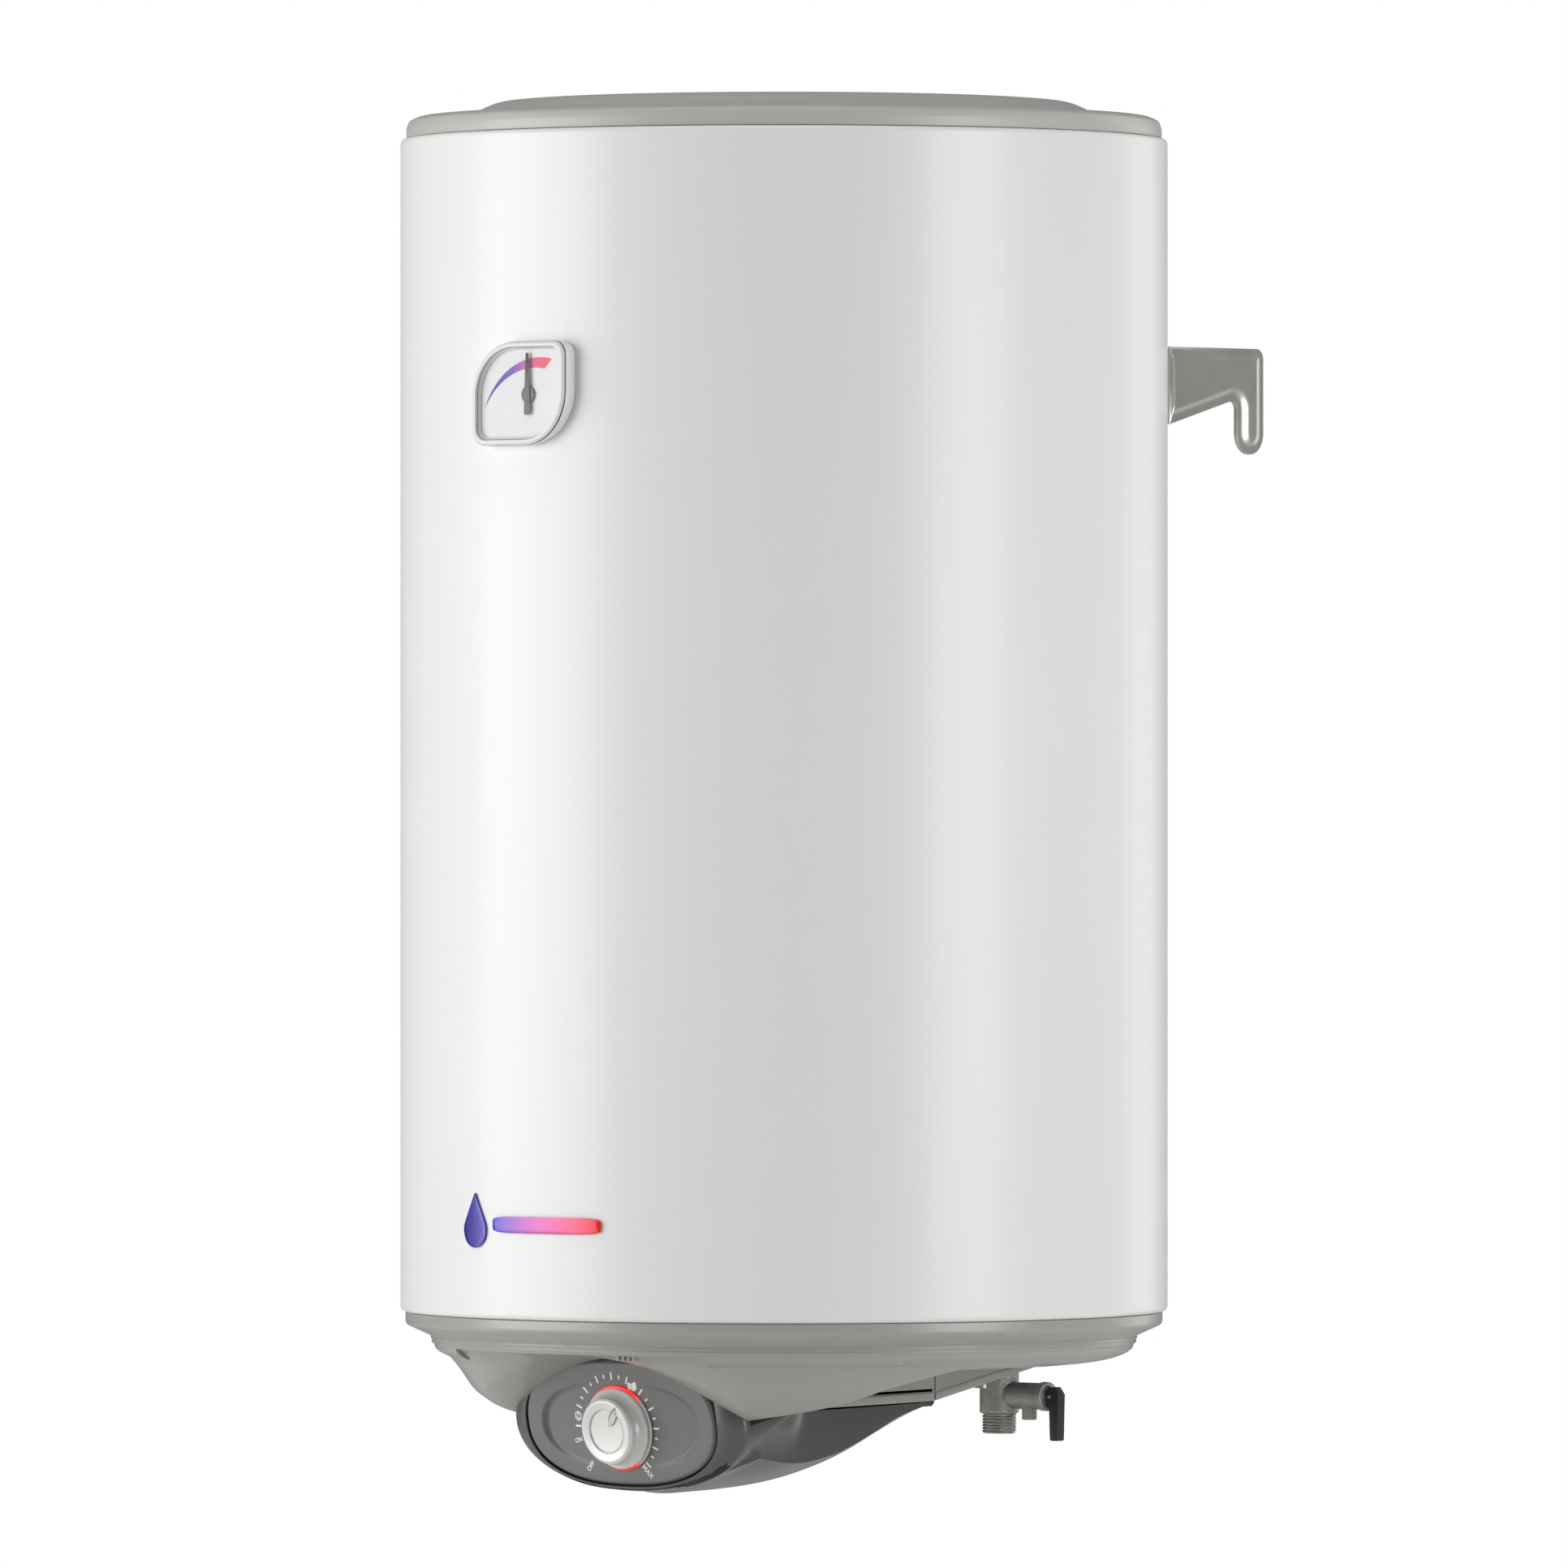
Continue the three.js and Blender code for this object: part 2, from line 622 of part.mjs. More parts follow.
function podSection(y, inset) {
  const top = along(TOP_EDGE, y) + (inset > 0 ? 8 : 0);
  const chine = along(CHINE, y) + inset * 0.7;
  const keel = along(KEEL, y) + inset;
  const flare = along(FLARE, y) - inset;
  const half = along(CHINE_HALF, y) - inset;
  const quarter = POD_STEPS / 4;
  const loop = [];
  for (let i = 0; i < POD_STEPS; i += 1) {
    const turn = Math.floor(i / quarter);
    const t = (i % quarter) / quarter;
    const fromSide = turn % 2 === 0 ? t : 1 - t;
    const side = turn === 0 || turn === 3 ? 1 : -1;
    if (turn < 2) {
      loop.push([side * flare * (1 - fromSide), y, top]);
    } else if (fromSide < 0.5) {
      const k = fromSide / 0.5;
      loop.push([side * (flare + (half - flare) * (1 - (1 - k) ** 2)), y, top + (chine - top) * k]);
    } else {
      const k = (fromSide - 0.5) / 0.5;
      loop.push([side * half * (1 - k), y, chine + (keel - chine) * Math.sin(k * Math.PI / 2)]);
    }
  }
  return loop;
}

function podBody(inset, back = SPLIT_Y) {
  const stations = [-112, -95, -75, -44, -12, 20, back];
  return skinned([
    podFront(FASCIA_HALF_W + 1.4, FASCIA_HALF_H + 1.2, inset === 0 ? 0.2 : -4, inset, 2.4, FASCIA_LIFT),
    podFront(POD_HALF_W, POD_HALF_H, POD_RIM, inset, 2.1),
    podFront(POD_HALF_W + 0.5, POD_HALF_H - 0.5, POD_RIM + 5, inset, 2.1),
    ...stations.map((y) => podSection(y, inset)),
  ]);
}

// The pocket in the shell's front that the fascia drops into.
function fasciaRoom() {
  const size = [FASCIA_HALF_W + GAP * 2, FASCIA_HALF_H + GAP * 2];
  return skinned([
    podFront(...size, -5, 0, 2.4, FASCIA_LIFT),
    podFront(...size, FASCIA_THICK + GAP, 0, 2.4, FASCIA_LIFT),
  ]);
}

// ---------------------------------------------------------------- controls on the fascia
const controls = new THREE.Group();
controls.position.set(0, -FACE_Y, KNOB_Z);
controls.rotation.x = rad(90 + FACE_TILT);
heater.add(controls);

function fascia() {
  const edge = (inset, z) => {
    const outline = superEllipse(FASCIA_HALF_W - inset, FASCIA_HALF_H - inset, 2.4, 40, 0, FASCIA_LIFT);
    return outline.map(([x, y]) => [x, y, z]);
  };
  const body = skinned([edge(0, -FASCIA_THICK), edge(0, -1.6), edge(0.9, -0.5), edge(FASCIA_CHAMFER, 0)]);
  const hump = [];
  for (let i = -8; i <= 8; i += 1) {
    const x = i * RECESS_HALF_W * 1.1 / 8;
    hump.push([x, 0.3 - (RECESS_DEPTH + 0.3) * (x / RECESS_HALF_W) ** 2]);
  }
  hump.push([RECESS_HALF_W * 1.1, -20], [-RECESS_HALF_W * 1.1, -20]);
  const floor = plate(hump, -60, 60).rotate([90, 0, 0]);
  const rim = superEllipse(RECESS_HALF_W, RECESS_HALF_H, 2.3, 36, 0, FASCIA_LIFT * 0.5);
  const recess = plate(rim, -FASCIA_THICK + 0.2, 6).subtract(floor);
  const shaftHole = rod(SHAFT_R + 2, -10, 10, 16);
  return body.subtract(recess).subtract(shaftHole);
}

function leaf(from, to, half, angle, grow) {
  const outline = [];
  const steps = 8;
  const length = to - from;
  for (const side of [1, -1]) {
    for (let i = 0; i < steps; i += 1) {
      const t = side > 0 ? i / steps : 1 - i / steps;
      const width = half * Math.sin(Math.PI * Math.min(1, t ** 0.8)) + grow;
      const along0 = from - grow + (length + 2 * grow) * t;
      const wide = i === 0 ? 0 : side * width;
      const c = Math.cos(rad(angle));
      const s = Math.sin(rad(angle));
      outline.push([along0 * c - wide * s, along0 * s + wide * c]);
    }
  }
  return outline;
}

function knob() {
  const body = turned([
    [0, KNOB_OUT - 1.5],
    [KNOB_FACE_R - 0.5, KNOB_OUT - 1.5],
    [KNOB_FACE_R, KNOB_OUT - 2.2],
    [KNOB_FACE_R + 0.6, KNOB_OUT - 0.9],
    [KNOB_TOP_R - 1.4, KNOB_OUT],
    [KNOB_TOP_R, KNOB_OUT - 1.1],
    [KNOB_TOP_R + 0.7, KNOB_OUT - 4.7],
    [KNOB_TOP_R + 2.1, KNOB_FLOAT + 3.4],
    [KNOB_R, KNOB_FLOAT + 1.2],
    [KNOB_R, KNOB_FLOAT],
    [KNOB_R - 2, KNOB_FLOAT],
    [KNOB_TOP_R - 1.4, KNOB_OUT - 3.6],
    [SHAFT_R + 3.6, KNOB_OUT - 3.6],
    [SHAFT_R + 3.6, KNOB_FLOAT + 0.4],
    [SHAFT_R + 0.05, KNOB_FLOAT + 0.4],
    [SHAFT_R + 0.05, KNOB_OUT - 3.9],
    [0, KNOB_OUT - 3.9],
  ], 20);
  const slot = plate(leaf(4, 18.2, 2.5, POINTER_AT, GAP), KNOB_OUT - 2.2, KNOB_OUT + 5);
  return body.subtract(slot);
}

// ---------------------------------------------------------------- gauge
const gauge = new THREE.Group();
gauge.position.set(0, -(JACKET_R + GAUGE_PROUD), GAUGE_Z);
gauge.rotation.x = rad(90);
heater.add(gauge);

// Leaf-shaped outline: two opposite corners with a large radius, two with a small one.
function gaugeOutline(inset) {
  const w = GAUGE_HALF_W - inset;
  const h = GAUGE_HALF_H - inset;
  const big = GAUGE_HALF_H * 1.05 - inset;
  const small = GAUGE_HALF_H * 0.28 - inset * 0.5;
  const corners = [[1, 1, small], [-1, 1, big], [-1, -1, small], [1, -1, big]];
  const outline = [];
  for (let k = 0; k < 4; k += 1) {
    const [sx, sy, r] = corners[k];
    const steps = r === big ? 9 : 4;
    for (let i = 0; i <= steps; i += 1) {
      const a = rad(90 * k + 90 * i / steps);
      outline.push([sx * (w - r) + r * Math.cos(a), sy * (h - r) + r * Math.sin(a)]);
    }
  }
  return outline;
}

function gaugeBezel() {
  const block = plate(gaugeOutline(0), -GAUGE_PROUD - 6, 0);
  const jacketRoom = rod(JACKET_R + GAP, -100, 100, ROUND).rotate([90, 0, 0])
    .translate([0, 0, -(JACKET_R + GAUGE_PROUD)]);
  const recess = plate(gaugeOutline(GAUGE_RIM), -GAUGE_SINK, 5);
  const bulbHole = rod(BULB_R + 0.5, -60, 10, 12).translate([PIVOT_X, PIVOT_UP, 0]);
  return block.subtract(jacketRoom).subtract(recess).subtract(bulbHole);
}

function needleOutline() {
  const up = 24.6;
  const down = 12;
  return [
    [0.5, up], [-0.5, up], [-1.5, 2], [-1.7, -down + 1.6],
    [-0.8, -down], [0.8, -down], [1.7, -down + 1.6], [1.5, 2],
  ];
}

// ---------------------------------------------------------------- badge
function onJacket(outline, z) {
  const block = plate(outline, 0, JACKET_R + 20).rotate([90, 0, 0]).translate([0, 0, z]);
  return block.intersect(tube(JACKET_R + GAP + BADGE_THICK, JACKET_R + GAP, z - 60, z + 60, 96));
}

function dropOutline(cx, r) {
  const outline = [[cx, r * 1.75]];
  for (let i = 0; i <= 18; i += 1) {
    const a = rad(150 + 240 * i / 18);
    outline.push([cx + r * Math.cos(a), -r * 0.35 + r * Math.sin(a)]);
  }
  return outline;
}

// ---------------------------------------------------------------- wall bracket
function armOutline(edge) {
  const wall = JACKET_R + WALL_GAP;
  const corner = 6;
  const outline = [[150, ARM_TOP - edge], [wall - corner, ARM_TOP - edge]];
  for (let i = 1; i <= 4; i += 1) {
    const a = rad(90 - 90 * i / 4);
    const r = corner - edge * 0.5;
    const y = wall - corner + r * Math.cos(a) - edge * 0.5;
    outline.push([y, ARM_TOP - corner + r * Math.sin(a) - edge * 0.5]);
  }
  outline[outline.length - 1] = [wall - edge, ARM_TOP - corner - edge * 0.5];
  const legR = LEG_WIDTH / 2 - edge;
  for (let i = 0; i <= 6; i += 1) {
    const a = rad(-180 * i / 6);
    const y = wall - LEG_WIDTH / 2 + legR * Math.cos(a);
    outline.push([y, LEG_BOTTOM + LEG_WIDTH / 2 + legR * Math.sin(a)]);
  }
  outline.push([wall - LEG_WIDTH + edge, -4 + edge]);
  outline.push([wall - LEG_WIDTH - 1.5 + edge * 0.5, edge]);
  outline.push([wall - LEG_WIDTH - 8 + edge * 0.5, edge]);
  outline.push([150, -17.5 + edge]);
  return outline;
}

function hookArm(side) {
  const face = plate(armOutline(0), HOOK_X - SHEET, HOOK_X).rotate([90, 0, 90]);
  const boss = plate(armOutline(EMBOSS_EDGE), HOOK_X - SHEET + 0.5, HOOK_X + EMBOSS).rotate([90, 0, 90]);
  const hollow = plate(armOutline(EMBOSS_EDGE + SHEET), HOOK_X - SHEET - 5, HOOK_X + EMBOSS - SHEET)
    .rotate([90, 0, 90]);
  const limit = THREE.MathUtils.radToDeg(Math.asin(HOOK_X / (FOOT_R + SHEET)));
  const foot = backBand(FOOT_R, FOOT_R + SHEET, limit - 8, limit, -15, ARM_TOP - 3, 4);
  const inside = rod(FOOT_R, -60, 60, ROUND * 2);
  const arm = face.add(boss).subtract(hollow).subtract(inside).add(foot);
  return side > 0 ? arm : arm.mirror([1, 0, 0]);
}

function hangerBolt(angle) {
  const shank = rod(HANGER_BOLT_R, TANK_R + GAP, STRAP_R + SHEET + 2, 12);
  const head = rod(HANGER_HEAD_R, STRAP_R + SHEET + GAP, STRAP_R + SHEET + GAP + 6, 6);
  return shank.add(head).rotate([-90, 0, -angle]);
}

// ---------------------------------------------------------------- tank and what it holds
function domed(radius, bottom, top, dome, steps) {
  const profile = [];
  for (let i = 0; i <= steps; i += 1) {
    const a = Math.PI / 2 * i / steps;
    profile.push([radius * Math.sin(a), bottom + dome * (1 - Math.cos(a))]);
  }
  for (let i = steps; i >= 0; i -= 1) {
    const a = Math.PI / 2 * i / steps;
    profile.push([radius * Math.sin(a), top - dome * (1 - Math.cos(a))]);
  }
  profile[0][0] = 0;
  profile[profile.length - 1][0] = 0;
  return turned(profile, 28);
}

function innerTank() {
  const w = TANK_WALL;
  const outer = domed(TANK_R, TANK_BOTTOM, TANK_TOP, TANK_DOME, 4);
  const inner = domed(TANK_R - w, TANK_BOTTOM + w, TANK_TOP - w, TANK_DOME, 4);
  const neck = rod(FLANGE_R, FLANGE_SEAT, TANK_BOTTOM + 2, 20).translate([0, FLANGE_Y, 0]);
  const mouth = rod(FLANGE_HOLE_R, FLANGE_SEAT - 5, TANK_BOTTOM + 30, 20).translate([0, FLANGE_Y, 0]);
  return outer.subtract(inner).add(neck).subtract(mouth)
    .subtract(pipeHoles(PIPE_R + GAP, BASE - 50, PIPE_TOP + 40))
    .subtract(boltHoles(FLANGE_BOLT_R + GAP));
}

function insulation() {
  const outer = turned([
    [0, BASE + 1],
    [SPIGOT_R - CAP_WALL - 1, BASE + 1],
    [SPIGOT_R - CAP_WALL - 1, BASE + SPIGOT + 0.5],
    [JACKET_R - JACKET_WALL - GAP, BASE + SPIGOT + 0.5],
    [JACKET_R - JACKET_WALL - GAP, JACKET_TOP - SPIGOT - 0.5],
    [SPIGOT_R - CAP_WALL - 1, JACKET_TOP - SPIGOT - 0.5],
    [SPIGOT_R - CAP_WALL - 1, JACKET_TOP - 1],
    [0, JACKET_TOP - 1],
  ]);
  const inner = domed(TANK_R + GAP, TANK_BOTTOM - GAP, TANK_TOP + GAP, TANK_DOME, 4);
  const service = rod(FLANGE_R + 14, BASE - 20, TANK_BOTTOM + 20, 20).translate([0, FLANGE_Y, 0]);
  return outer.subtract(inner).subtract(service).subtract(pipeHoles(PIPE_R + 1, BASE - 50, PIPE_TOP + 40))
    .subtract(gaugeHole).subtract(hangerHoles);
}

function aroundFlange(make) {
  const made = [];
  for (let i = 0; i < FLANGE_BOLTS; i += 1) {
    const a = rad(90 + 360 * i / FLANGE_BOLTS);
    made.push(make([FLANGE_BOLT_PCR * Math.cos(a), FLANGE_Y + FLANGE_BOLT_PCR * Math.sin(a), 0]));
  }
  return made;
}

const ELEMENT_X = 17;            // legs of the heating element each side of the flange's centre
const ELEMENT_Y = FLANGE_Y - 16;
const ANODE_AT = [0, FLANGE_Y + 20, 0];
const POCKET_AT = [25, FLANGE_Y + 12, 0];

function boltHoles(radius) {
  const hole = (at) => rod(radius, FLANGE_UNDER - 20, TANK_BOTTOM + 1, 12).translate(at);
  const [first, ...rest] = aroundFlange(hole);
  return rest.reduce((sum, next) => sum.add(next), first);
}

function flangePlate() {
  const disc = rod(FLANGE_R, FLANGE_UNDER, FLANGE_UNDER + FLANGE_THICK, 20).translate([0, FLANGE_Y, 0]);
  const cut = (radius, at) => rod(radius, FLANGE_UNDER - 5, FLANGE_UNDER + 20, 12).translate(at);
  return disc.subtract(boltHoles(FLANGE_BOLT_R + 0.4))
    .subtract(cut(ELEMENT_R + 0.5, [ELEMENT_X, ELEMENT_Y, 0]))
    .subtract(cut(ELEMENT_R + 0.5, [-ELEMENT_X, ELEMENT_Y, 0]))
    .subtract(cut(ANODE_STUD_R + 0.4, ANODE_AT))
    .subtract(cut(POCKET_R + 0.4, POCKET_AT));
}

function flangeBolt(at) {
  const under = FLANGE_UNDER - GAP;
  const head = rod(7.5, under - 5.5, under, 6);
  const shank = rod(FLANGE_BOLT_R, under - 0.5, FLANGE_SEAT + 4.5, 12);
  return head.add(shank).translate(at);
}

function heatingElement() {
  const low = FLANGE_UNDER - 12;
  const high = FLANGE_UNDER + ELEMENT_TALL;
  const points = [];
  for (let i = 0; i < 6; i += 1) {
    points.push(new THREE.Vector3(-ELEMENT_X, ELEMENT_Y, low + (high - low) * i / 6));
  }
  for (let i = 0; i <= 6; i += 1) {
    const a = Math.PI * (1 - i / 6);
    points.push(new THREE.Vector3(ELEMENT_X * Math.cos(a), ELEMENT_Y, high + ELEMENT_X * Math.sin(a)));
  }
  for (let i = 5; i >= 0; i -= 1) {
    points.push(new THREE.Vector3(ELEMENT_X, ELEMENT_Y, low + (high - low) * i / 6));
  }
  return bar(new THREE.CatmullRomCurve3(points), ELEMENT_R, 6, 26);
}

function sensorPocket() {
  const low = FLANGE_UNDER - 3;
  const high = FLANGE_UNDER + POCKET_TALL;
  return turned([[POCKET_R, low], [POCKET_R, high - 3], [POCKET_R - 3, high], [0, high], [0, high - 3],
    [POCKET_R - 2, high - 3], [POCKET_R - 2, low], [POCKET_R, low]], 12).translate(POCKET_AT);
}

function coldDiffuser() {
  const spigot = tube(PIPE_BORE - GAP, PIPE_BORE - 1.8, PIPE_TOP - 14, PIPE_TOP + 3, 16);
  const cap = rod(18, PIPE_TOP + 14, PIPE_TOP + 16, 20);
  const ribs = box(-PIPE_BORE + 1, PIPE_BORE - 1, -0.9, 0.9, PIPE_TOP - 4, PIPE_TOP + 15)
    .add(box(-0.9, 0.9, -PIPE_BORE + 1, PIPE_BORE - 1, PIPE_TOP - 4, PIPE_TOP + 15));
  return spigot.add(ribs).add(cap);
}

// ---------------------------------------------------------------- safety valve on the cold pipe
const valve = new THREE.Group();
valve.position.set(PIPE_X, PIPE_Y, BASE);
heater.add(valve);

function acrossX(body) {
  return body.rotate([0, 90, 0]).translate([0, 0, -VALVE_AXIS]);
}

function valveBody() {
  const main = rod(VALVE_R, -VALVE_BOTTOM, -VALVE_TOP, 20)
    .add(rod(PIPE_R - 0.3, -VALVE_BOTTOM - THREAD_LENGTH, -VALVE_BOTTOM + 1, 20));
  const branch = acrossX(rod(BRANCH_R, 2, BRANCH_END - 4, 16))
    .add(acrossX(rod(BRANCH_R + 0.7, BRANCH_END - 5, BRANCH_END, 16)));
  const spout = rod(SPOUT_R, -SPOUT_DEPTH, -VALVE_AXIS, 12).translate([SPOUT_AT, 0, 0]);
  const socket = rod(PIPE_R + GAP, -VALVE_TOP - 11, -VALVE_TOP + 5, 16);
  const bore = rod(POPPET_BORE, -VALVE_BOTTOM - THREAD_LENGTH - 5, -POPPET_SEAT + 1, 12)
    .add(rod(PIPE_BORE - 1, -POPPET_SEAT, -VALVE_TOP, 16));
  const chamber = acrossX(rod(BRANCH_BORE, RELIEF_SEAT, BRANCH_END + 5, 14));
  const seat = acrossX(rod(3, 0, RELIEF_SEAT + 1, 12));
  const drain = rod(SPOUT_BORE, -SPOUT_DEPTH - 5, -VALVE_AXIS, 12).translate([SPOUT_AT, 0, 0]);
  return main.add(branch).add(spout)
    .subtract(socket)
    .subtract(bore)
    .subtract(chamber)
    .subtract(seat)
    .subtract(drain);
}

function valveStem() {
  const shaft = acrossX(rod(STEM_R, RELIEF_SEAT + 1, LEVER_PIN_AT + 1.9, 12));
  const disc = acrossX(rod(BRANCH_BORE - 0.8, RELIEF_SEAT + GAP, RELIEF_SEAT + 2.5, 16));
  const pinHole = rod(1.5, -10, 10, 10).rotate([90, 0, 0]).translate([LEVER_PIN_AT, 0, -VALVE_AXIS]);
  return shaft.add(disc).subtract(pinHole);
}

function valveSpring() {
  const turns = 4;
  const start = RELIEF_SEAT + 3.4;
  const end = BRANCH_END - 7.2;
  const points = [];
  for (let i = 0; i <= turns * 8; i += 1) {
    const a = 2 * Math.PI * i / 8;
    const x = start + (end - start) * i / (turns * 8);
    points.push(new THREE.Vector3(x, SPRING_R * Math.cos(a), -VALVE_AXIS + SPRING_R * Math.sin(a)));
  }
  return bar(new THREE.CatmullRomCurve3(points), SPRING_WIRE_R, 5, turns * 8);
}

// The lever's inner edge is a cam round its pin: it draws the stem out as the lever is lifted.
function leverOutline() {
  const outline = [];
  const nearest = LEVER_PIN_AT - BRANCH_END - GAP;
  for (let i = 0; i <= 8; i += 1) {
    const turn = LEVER_SWING * i / 8;
    const reach = nearest + STEM_TRAVEL * turn / LEVER_SWING - 0.1;
    outline.push([-reach * Math.cos(rad(turn)), reach * Math.sin(rad(turn))]);
  }
  const out = LEVER_OUT - LEVER_PIN_AT;
  outline.push([out - 3.5, 5.9]);
  outline.push([out, 1.5]);
  outline.push([out - 0.8, -LEVER_TALL]);
  outline.push([out - 7, -LEVER_TALL]);
  outline.push([out - 7.6, -8]);
  outline.push([-nearest, -5]);
  return outline;
}

function valveLever() {
  const body = plate(leverOutline(), -LEVER_HALF_Y, LEVER_HALF_Y).rotate([90, 0, 0]);
  const slot = box(-8, 3.4, -STEM_R - GAP, STEM_R + GAP, -STEM_R - 4, 9);
  const pinHole = rod(1.5, -10, 10, 10).rotate([90, 0, 0]);
  return body.subtract(slot).subtract(pinHole).translate([LEVER_PIN_AT, 0, -VALVE_AXIS]);
}

// ---------------------------------------------------------------- the assembly
const COVER_INSIDE = ISLAND_HALF - COVER_WALL;
const podRoom = podBody(-GAP, SPLIT_Y + GAP);
const coverHoles = pipeHoles(PIPE_RING_R + GAP, BASE - 90, BELLY_Z + 8)
  .add(rod(GLAND_R + GAP, BASE - 90, BELLY_Z + 8, 16).translate([0, GLAND_Y, 0]))
  .add(screwHoles(BASE - 90, BELLY_Z + 8));
const lowerCover = bowl(0).add(island(0))
  .subtract(bowl(COVER_WALL))
  .subtract(island(COVER_WALL))
  .subtract(box(-COVER_INSIDE, COVER_INSIDE, -136, SPLIT_Y - 3, KEEL_Z, BELLY_Z + 6))
  .subtract(bellyRoom())
  .subtract(podRoom)
  .subtract(coverHoles);

place('jacket', jacket(), WHITE_ENAMEL);
place('top_cap', topCap(), LIGHT_GREY);
place('bottom_cap', bottomCap(), MID_GREY);
place('lower_cover', lowerCover, MID_GREY);
const podShell = podBody(0).subtract(podBody(POD_WALL, SPLIT_Y - POD_WALL)).subtract(fasciaRoom());
place('control_pod', podShell, DARK_SHELL);

place('fascia', fascia(), FASCIA_GREY, controls);
place('light_ring', tube(RING_R, 19, GAP, GAP + RING_THICK, 28), RED_LIGHT, controls);
place('knob', knob(), PEARL, controls);
const pointer = plate(leaf(4, 18.2, 2.5, POINTER_AT, 0), KNOB_OUT - 1.9, KNOB_OUT + 0.5);
place('knob_pointer', pointer, PEARL, controls);
place('thermostat_shaft', rod(SHAFT_R, -14, KNOB_OUT - 4.2, 16), STEEL, controls);
place('thermostat_body', box(-24, 24, -17, 17, -44, -14.3), BLACK, controls);
const board = box(-34, 34, -24, 24, -8, -6.4).subtract(rod(SHAFT_R + 2, -20, 5, 12));
place('indicator_board', board, CIRCUIT, controls);

place('gauge_bezel', gaugeBezel(), BEZEL, gauge);
place('gauge_dial', plate(gaugeOutline(GAUGE_RIM + GAP), -GAUGE_SINK + GAP, -GAUGE_SINK + 1), DIAL, gauge);
const hub = rod(5.2, -GAUGE_SINK + 1.3, -GAUGE_SINK + 2.3).translate([PIVOT_X, PIVOT_UP, 0]);
place('gauge_hub', hub, NEEDLE, gauge);
const needle = plate(needleOutline(), -GAUGE_SINK + 2.6, -GAUGE_SINK + 3.2).translate([PIVOT_X, PIVOT_UP, 0]);
place('gauge_needle', needle, NEEDLE, gauge);
place('gauge_lens', plate(gaugeOutline(GAUGE_RIM + GAP), -1.4, -0.4), CLEAR, gauge);
const bulbEnd = TANK_R - JACKET_R - GAUGE_PROUD + GAP;
const bulb = rod(BULB_R, bulbEnd, -GAUGE_SINK, 12).translate([PIVOT_X, PIVOT_UP, 0]);
place('gauge_bulb', bulb, COPPER, gauge);

const badgeZ = BASE + BADGE_UP;
place('badge_drop', onJacket(dropOutline(-BADGE_ARC / 2 + 11, 10.5), badgeZ), BLUE);
const barHalf = BADGE_TALL / 6;
const badgeBar = superEllipse(BADGE_ARC / 2 - 14, barHalf, 6, 40, 14, 0);
place('badge_bar', onJacket(badgeBar, badgeZ), RED);

place('inner_tank', innerTank(), ENAMEL);
place('insulation', insulation(), FOAM_YELLOW);
const gasketLow = FLANGE_UNDER + FLANGE_THICK + GAP;
const gasket = tube(FLANGE_R, FLANGE_HOLE_R, gasketLow, gasketLow + GASKET_THICK, 20)
  .translate([0, FLANGE_Y, 0]);
place('flange_gasket', gasket.subtract(boltHoles(FLANGE_BOLT_R + 0.4)), RUBBER);
place('flange_plate', flangePlate(), STEEL);
aroundFlange((at) => flangeBolt(at)).forEach((bolt, i) => {
  place(`flange_bolt_${i + 1}`, bolt, STEEL);
});
place('heating_element', heatingElement(), COPPER);
const anodeFoot = FLANGE_UNDER + FLANGE_THICK + GAP;
const anode = rod(ANODE_R, anodeFoot, anodeFoot + ANODE_TALL, 14)
  .add(rod(ANODE_STUD_R, FLANGE_UNDER - 10, anodeFoot + 1, 12));
place('anode_rod', anode.translate(ANODE_AT), MAGNESIUM);
const anodeNut = rod(7.5, FLANGE_UNDER - 7, FLANGE_UNDER - GAP, 6)
  .subtract(rod(ANODE_STUD_R + GAP, FLANGE_UNDER - 20, FLANGE_UNDER + 20, 12));
place('anode_nut', anodeNut.translate(ANODE_AT), STEEL);
place('sensor_pocket', sensorPocket(), COPPER);
const cutoutY = FLANGE_Y - 42;
place('thermal_cutout', box(-22, 22, cutoutY - 12, cutoutY + 12, FLANGE_UNDER - 30, FLANGE_UNDER - 6)
  .subtract(rod(3.4, FLANGE_UNDER - 40, FLANGE_UNDER - 26, 12).translate([0, cutoutY, 0])), BLACK);
place('reset_button', rod(3, FLANGE_UNDER - 33, FLANGE_UNDER - 28.5, 12).translate([0, cutoutY, 0]), RED);
place('terminal_block', box(-30, 30, 52, 74, FLANGE_UNDER - 34, FLANGE_UNDER - 14), DIAL);

const hotEnd = BASE - HOT_END;
const coldEnd = BASE - VALVE_TOP - 10.5;
place('hot_nipple', tube(PIPE_R, PIPE_BORE, hotEnd, PIPE_TOP).translate([-PIPE_X, PIPE_Y, 0]), STEEL);
const dip = tube(DIP_R, DIP_BORE, hotEnd + 45, TANK_TOP - 32, 14);
place('hot_standpipe', dip.translate([-PIPE_X, PIPE_Y, 0]), STEEL);
place('cold_nipple', tube(PIPE_R, PIPE_BORE, coldEnd, PIPE_TOP).translate([PIPE_X, PIPE_Y, 0]), STEEL);
place('cold_diffuser', coldDiffuser().translate([PIPE_X, PIPE_Y, 0]), DIAL);
const ringLow = islandBottom(PIPE_Y) - 1.5;
const pipeRing = tube(PIPE_RING_R, PIPE_R + GAP, ringLow, ringLow + 6);
place('hot_ring', pipeRing.translate([-PIPE_X, PIPE_Y, 0]), RED);
place('cold_ring', pipeRing.translate([PIPE_X, PIPE_Y, 0]), BLUE);
const glandLow = islandBottom(GLAND_Y) - 12;
const gland = tube(GLAND_R, CABLE_R, glandLow, glandLow + 22, 16)
  .add(tube(GLAND_NUT_R, CABLE_R, glandLow + 1, glandLow + 6, 6));
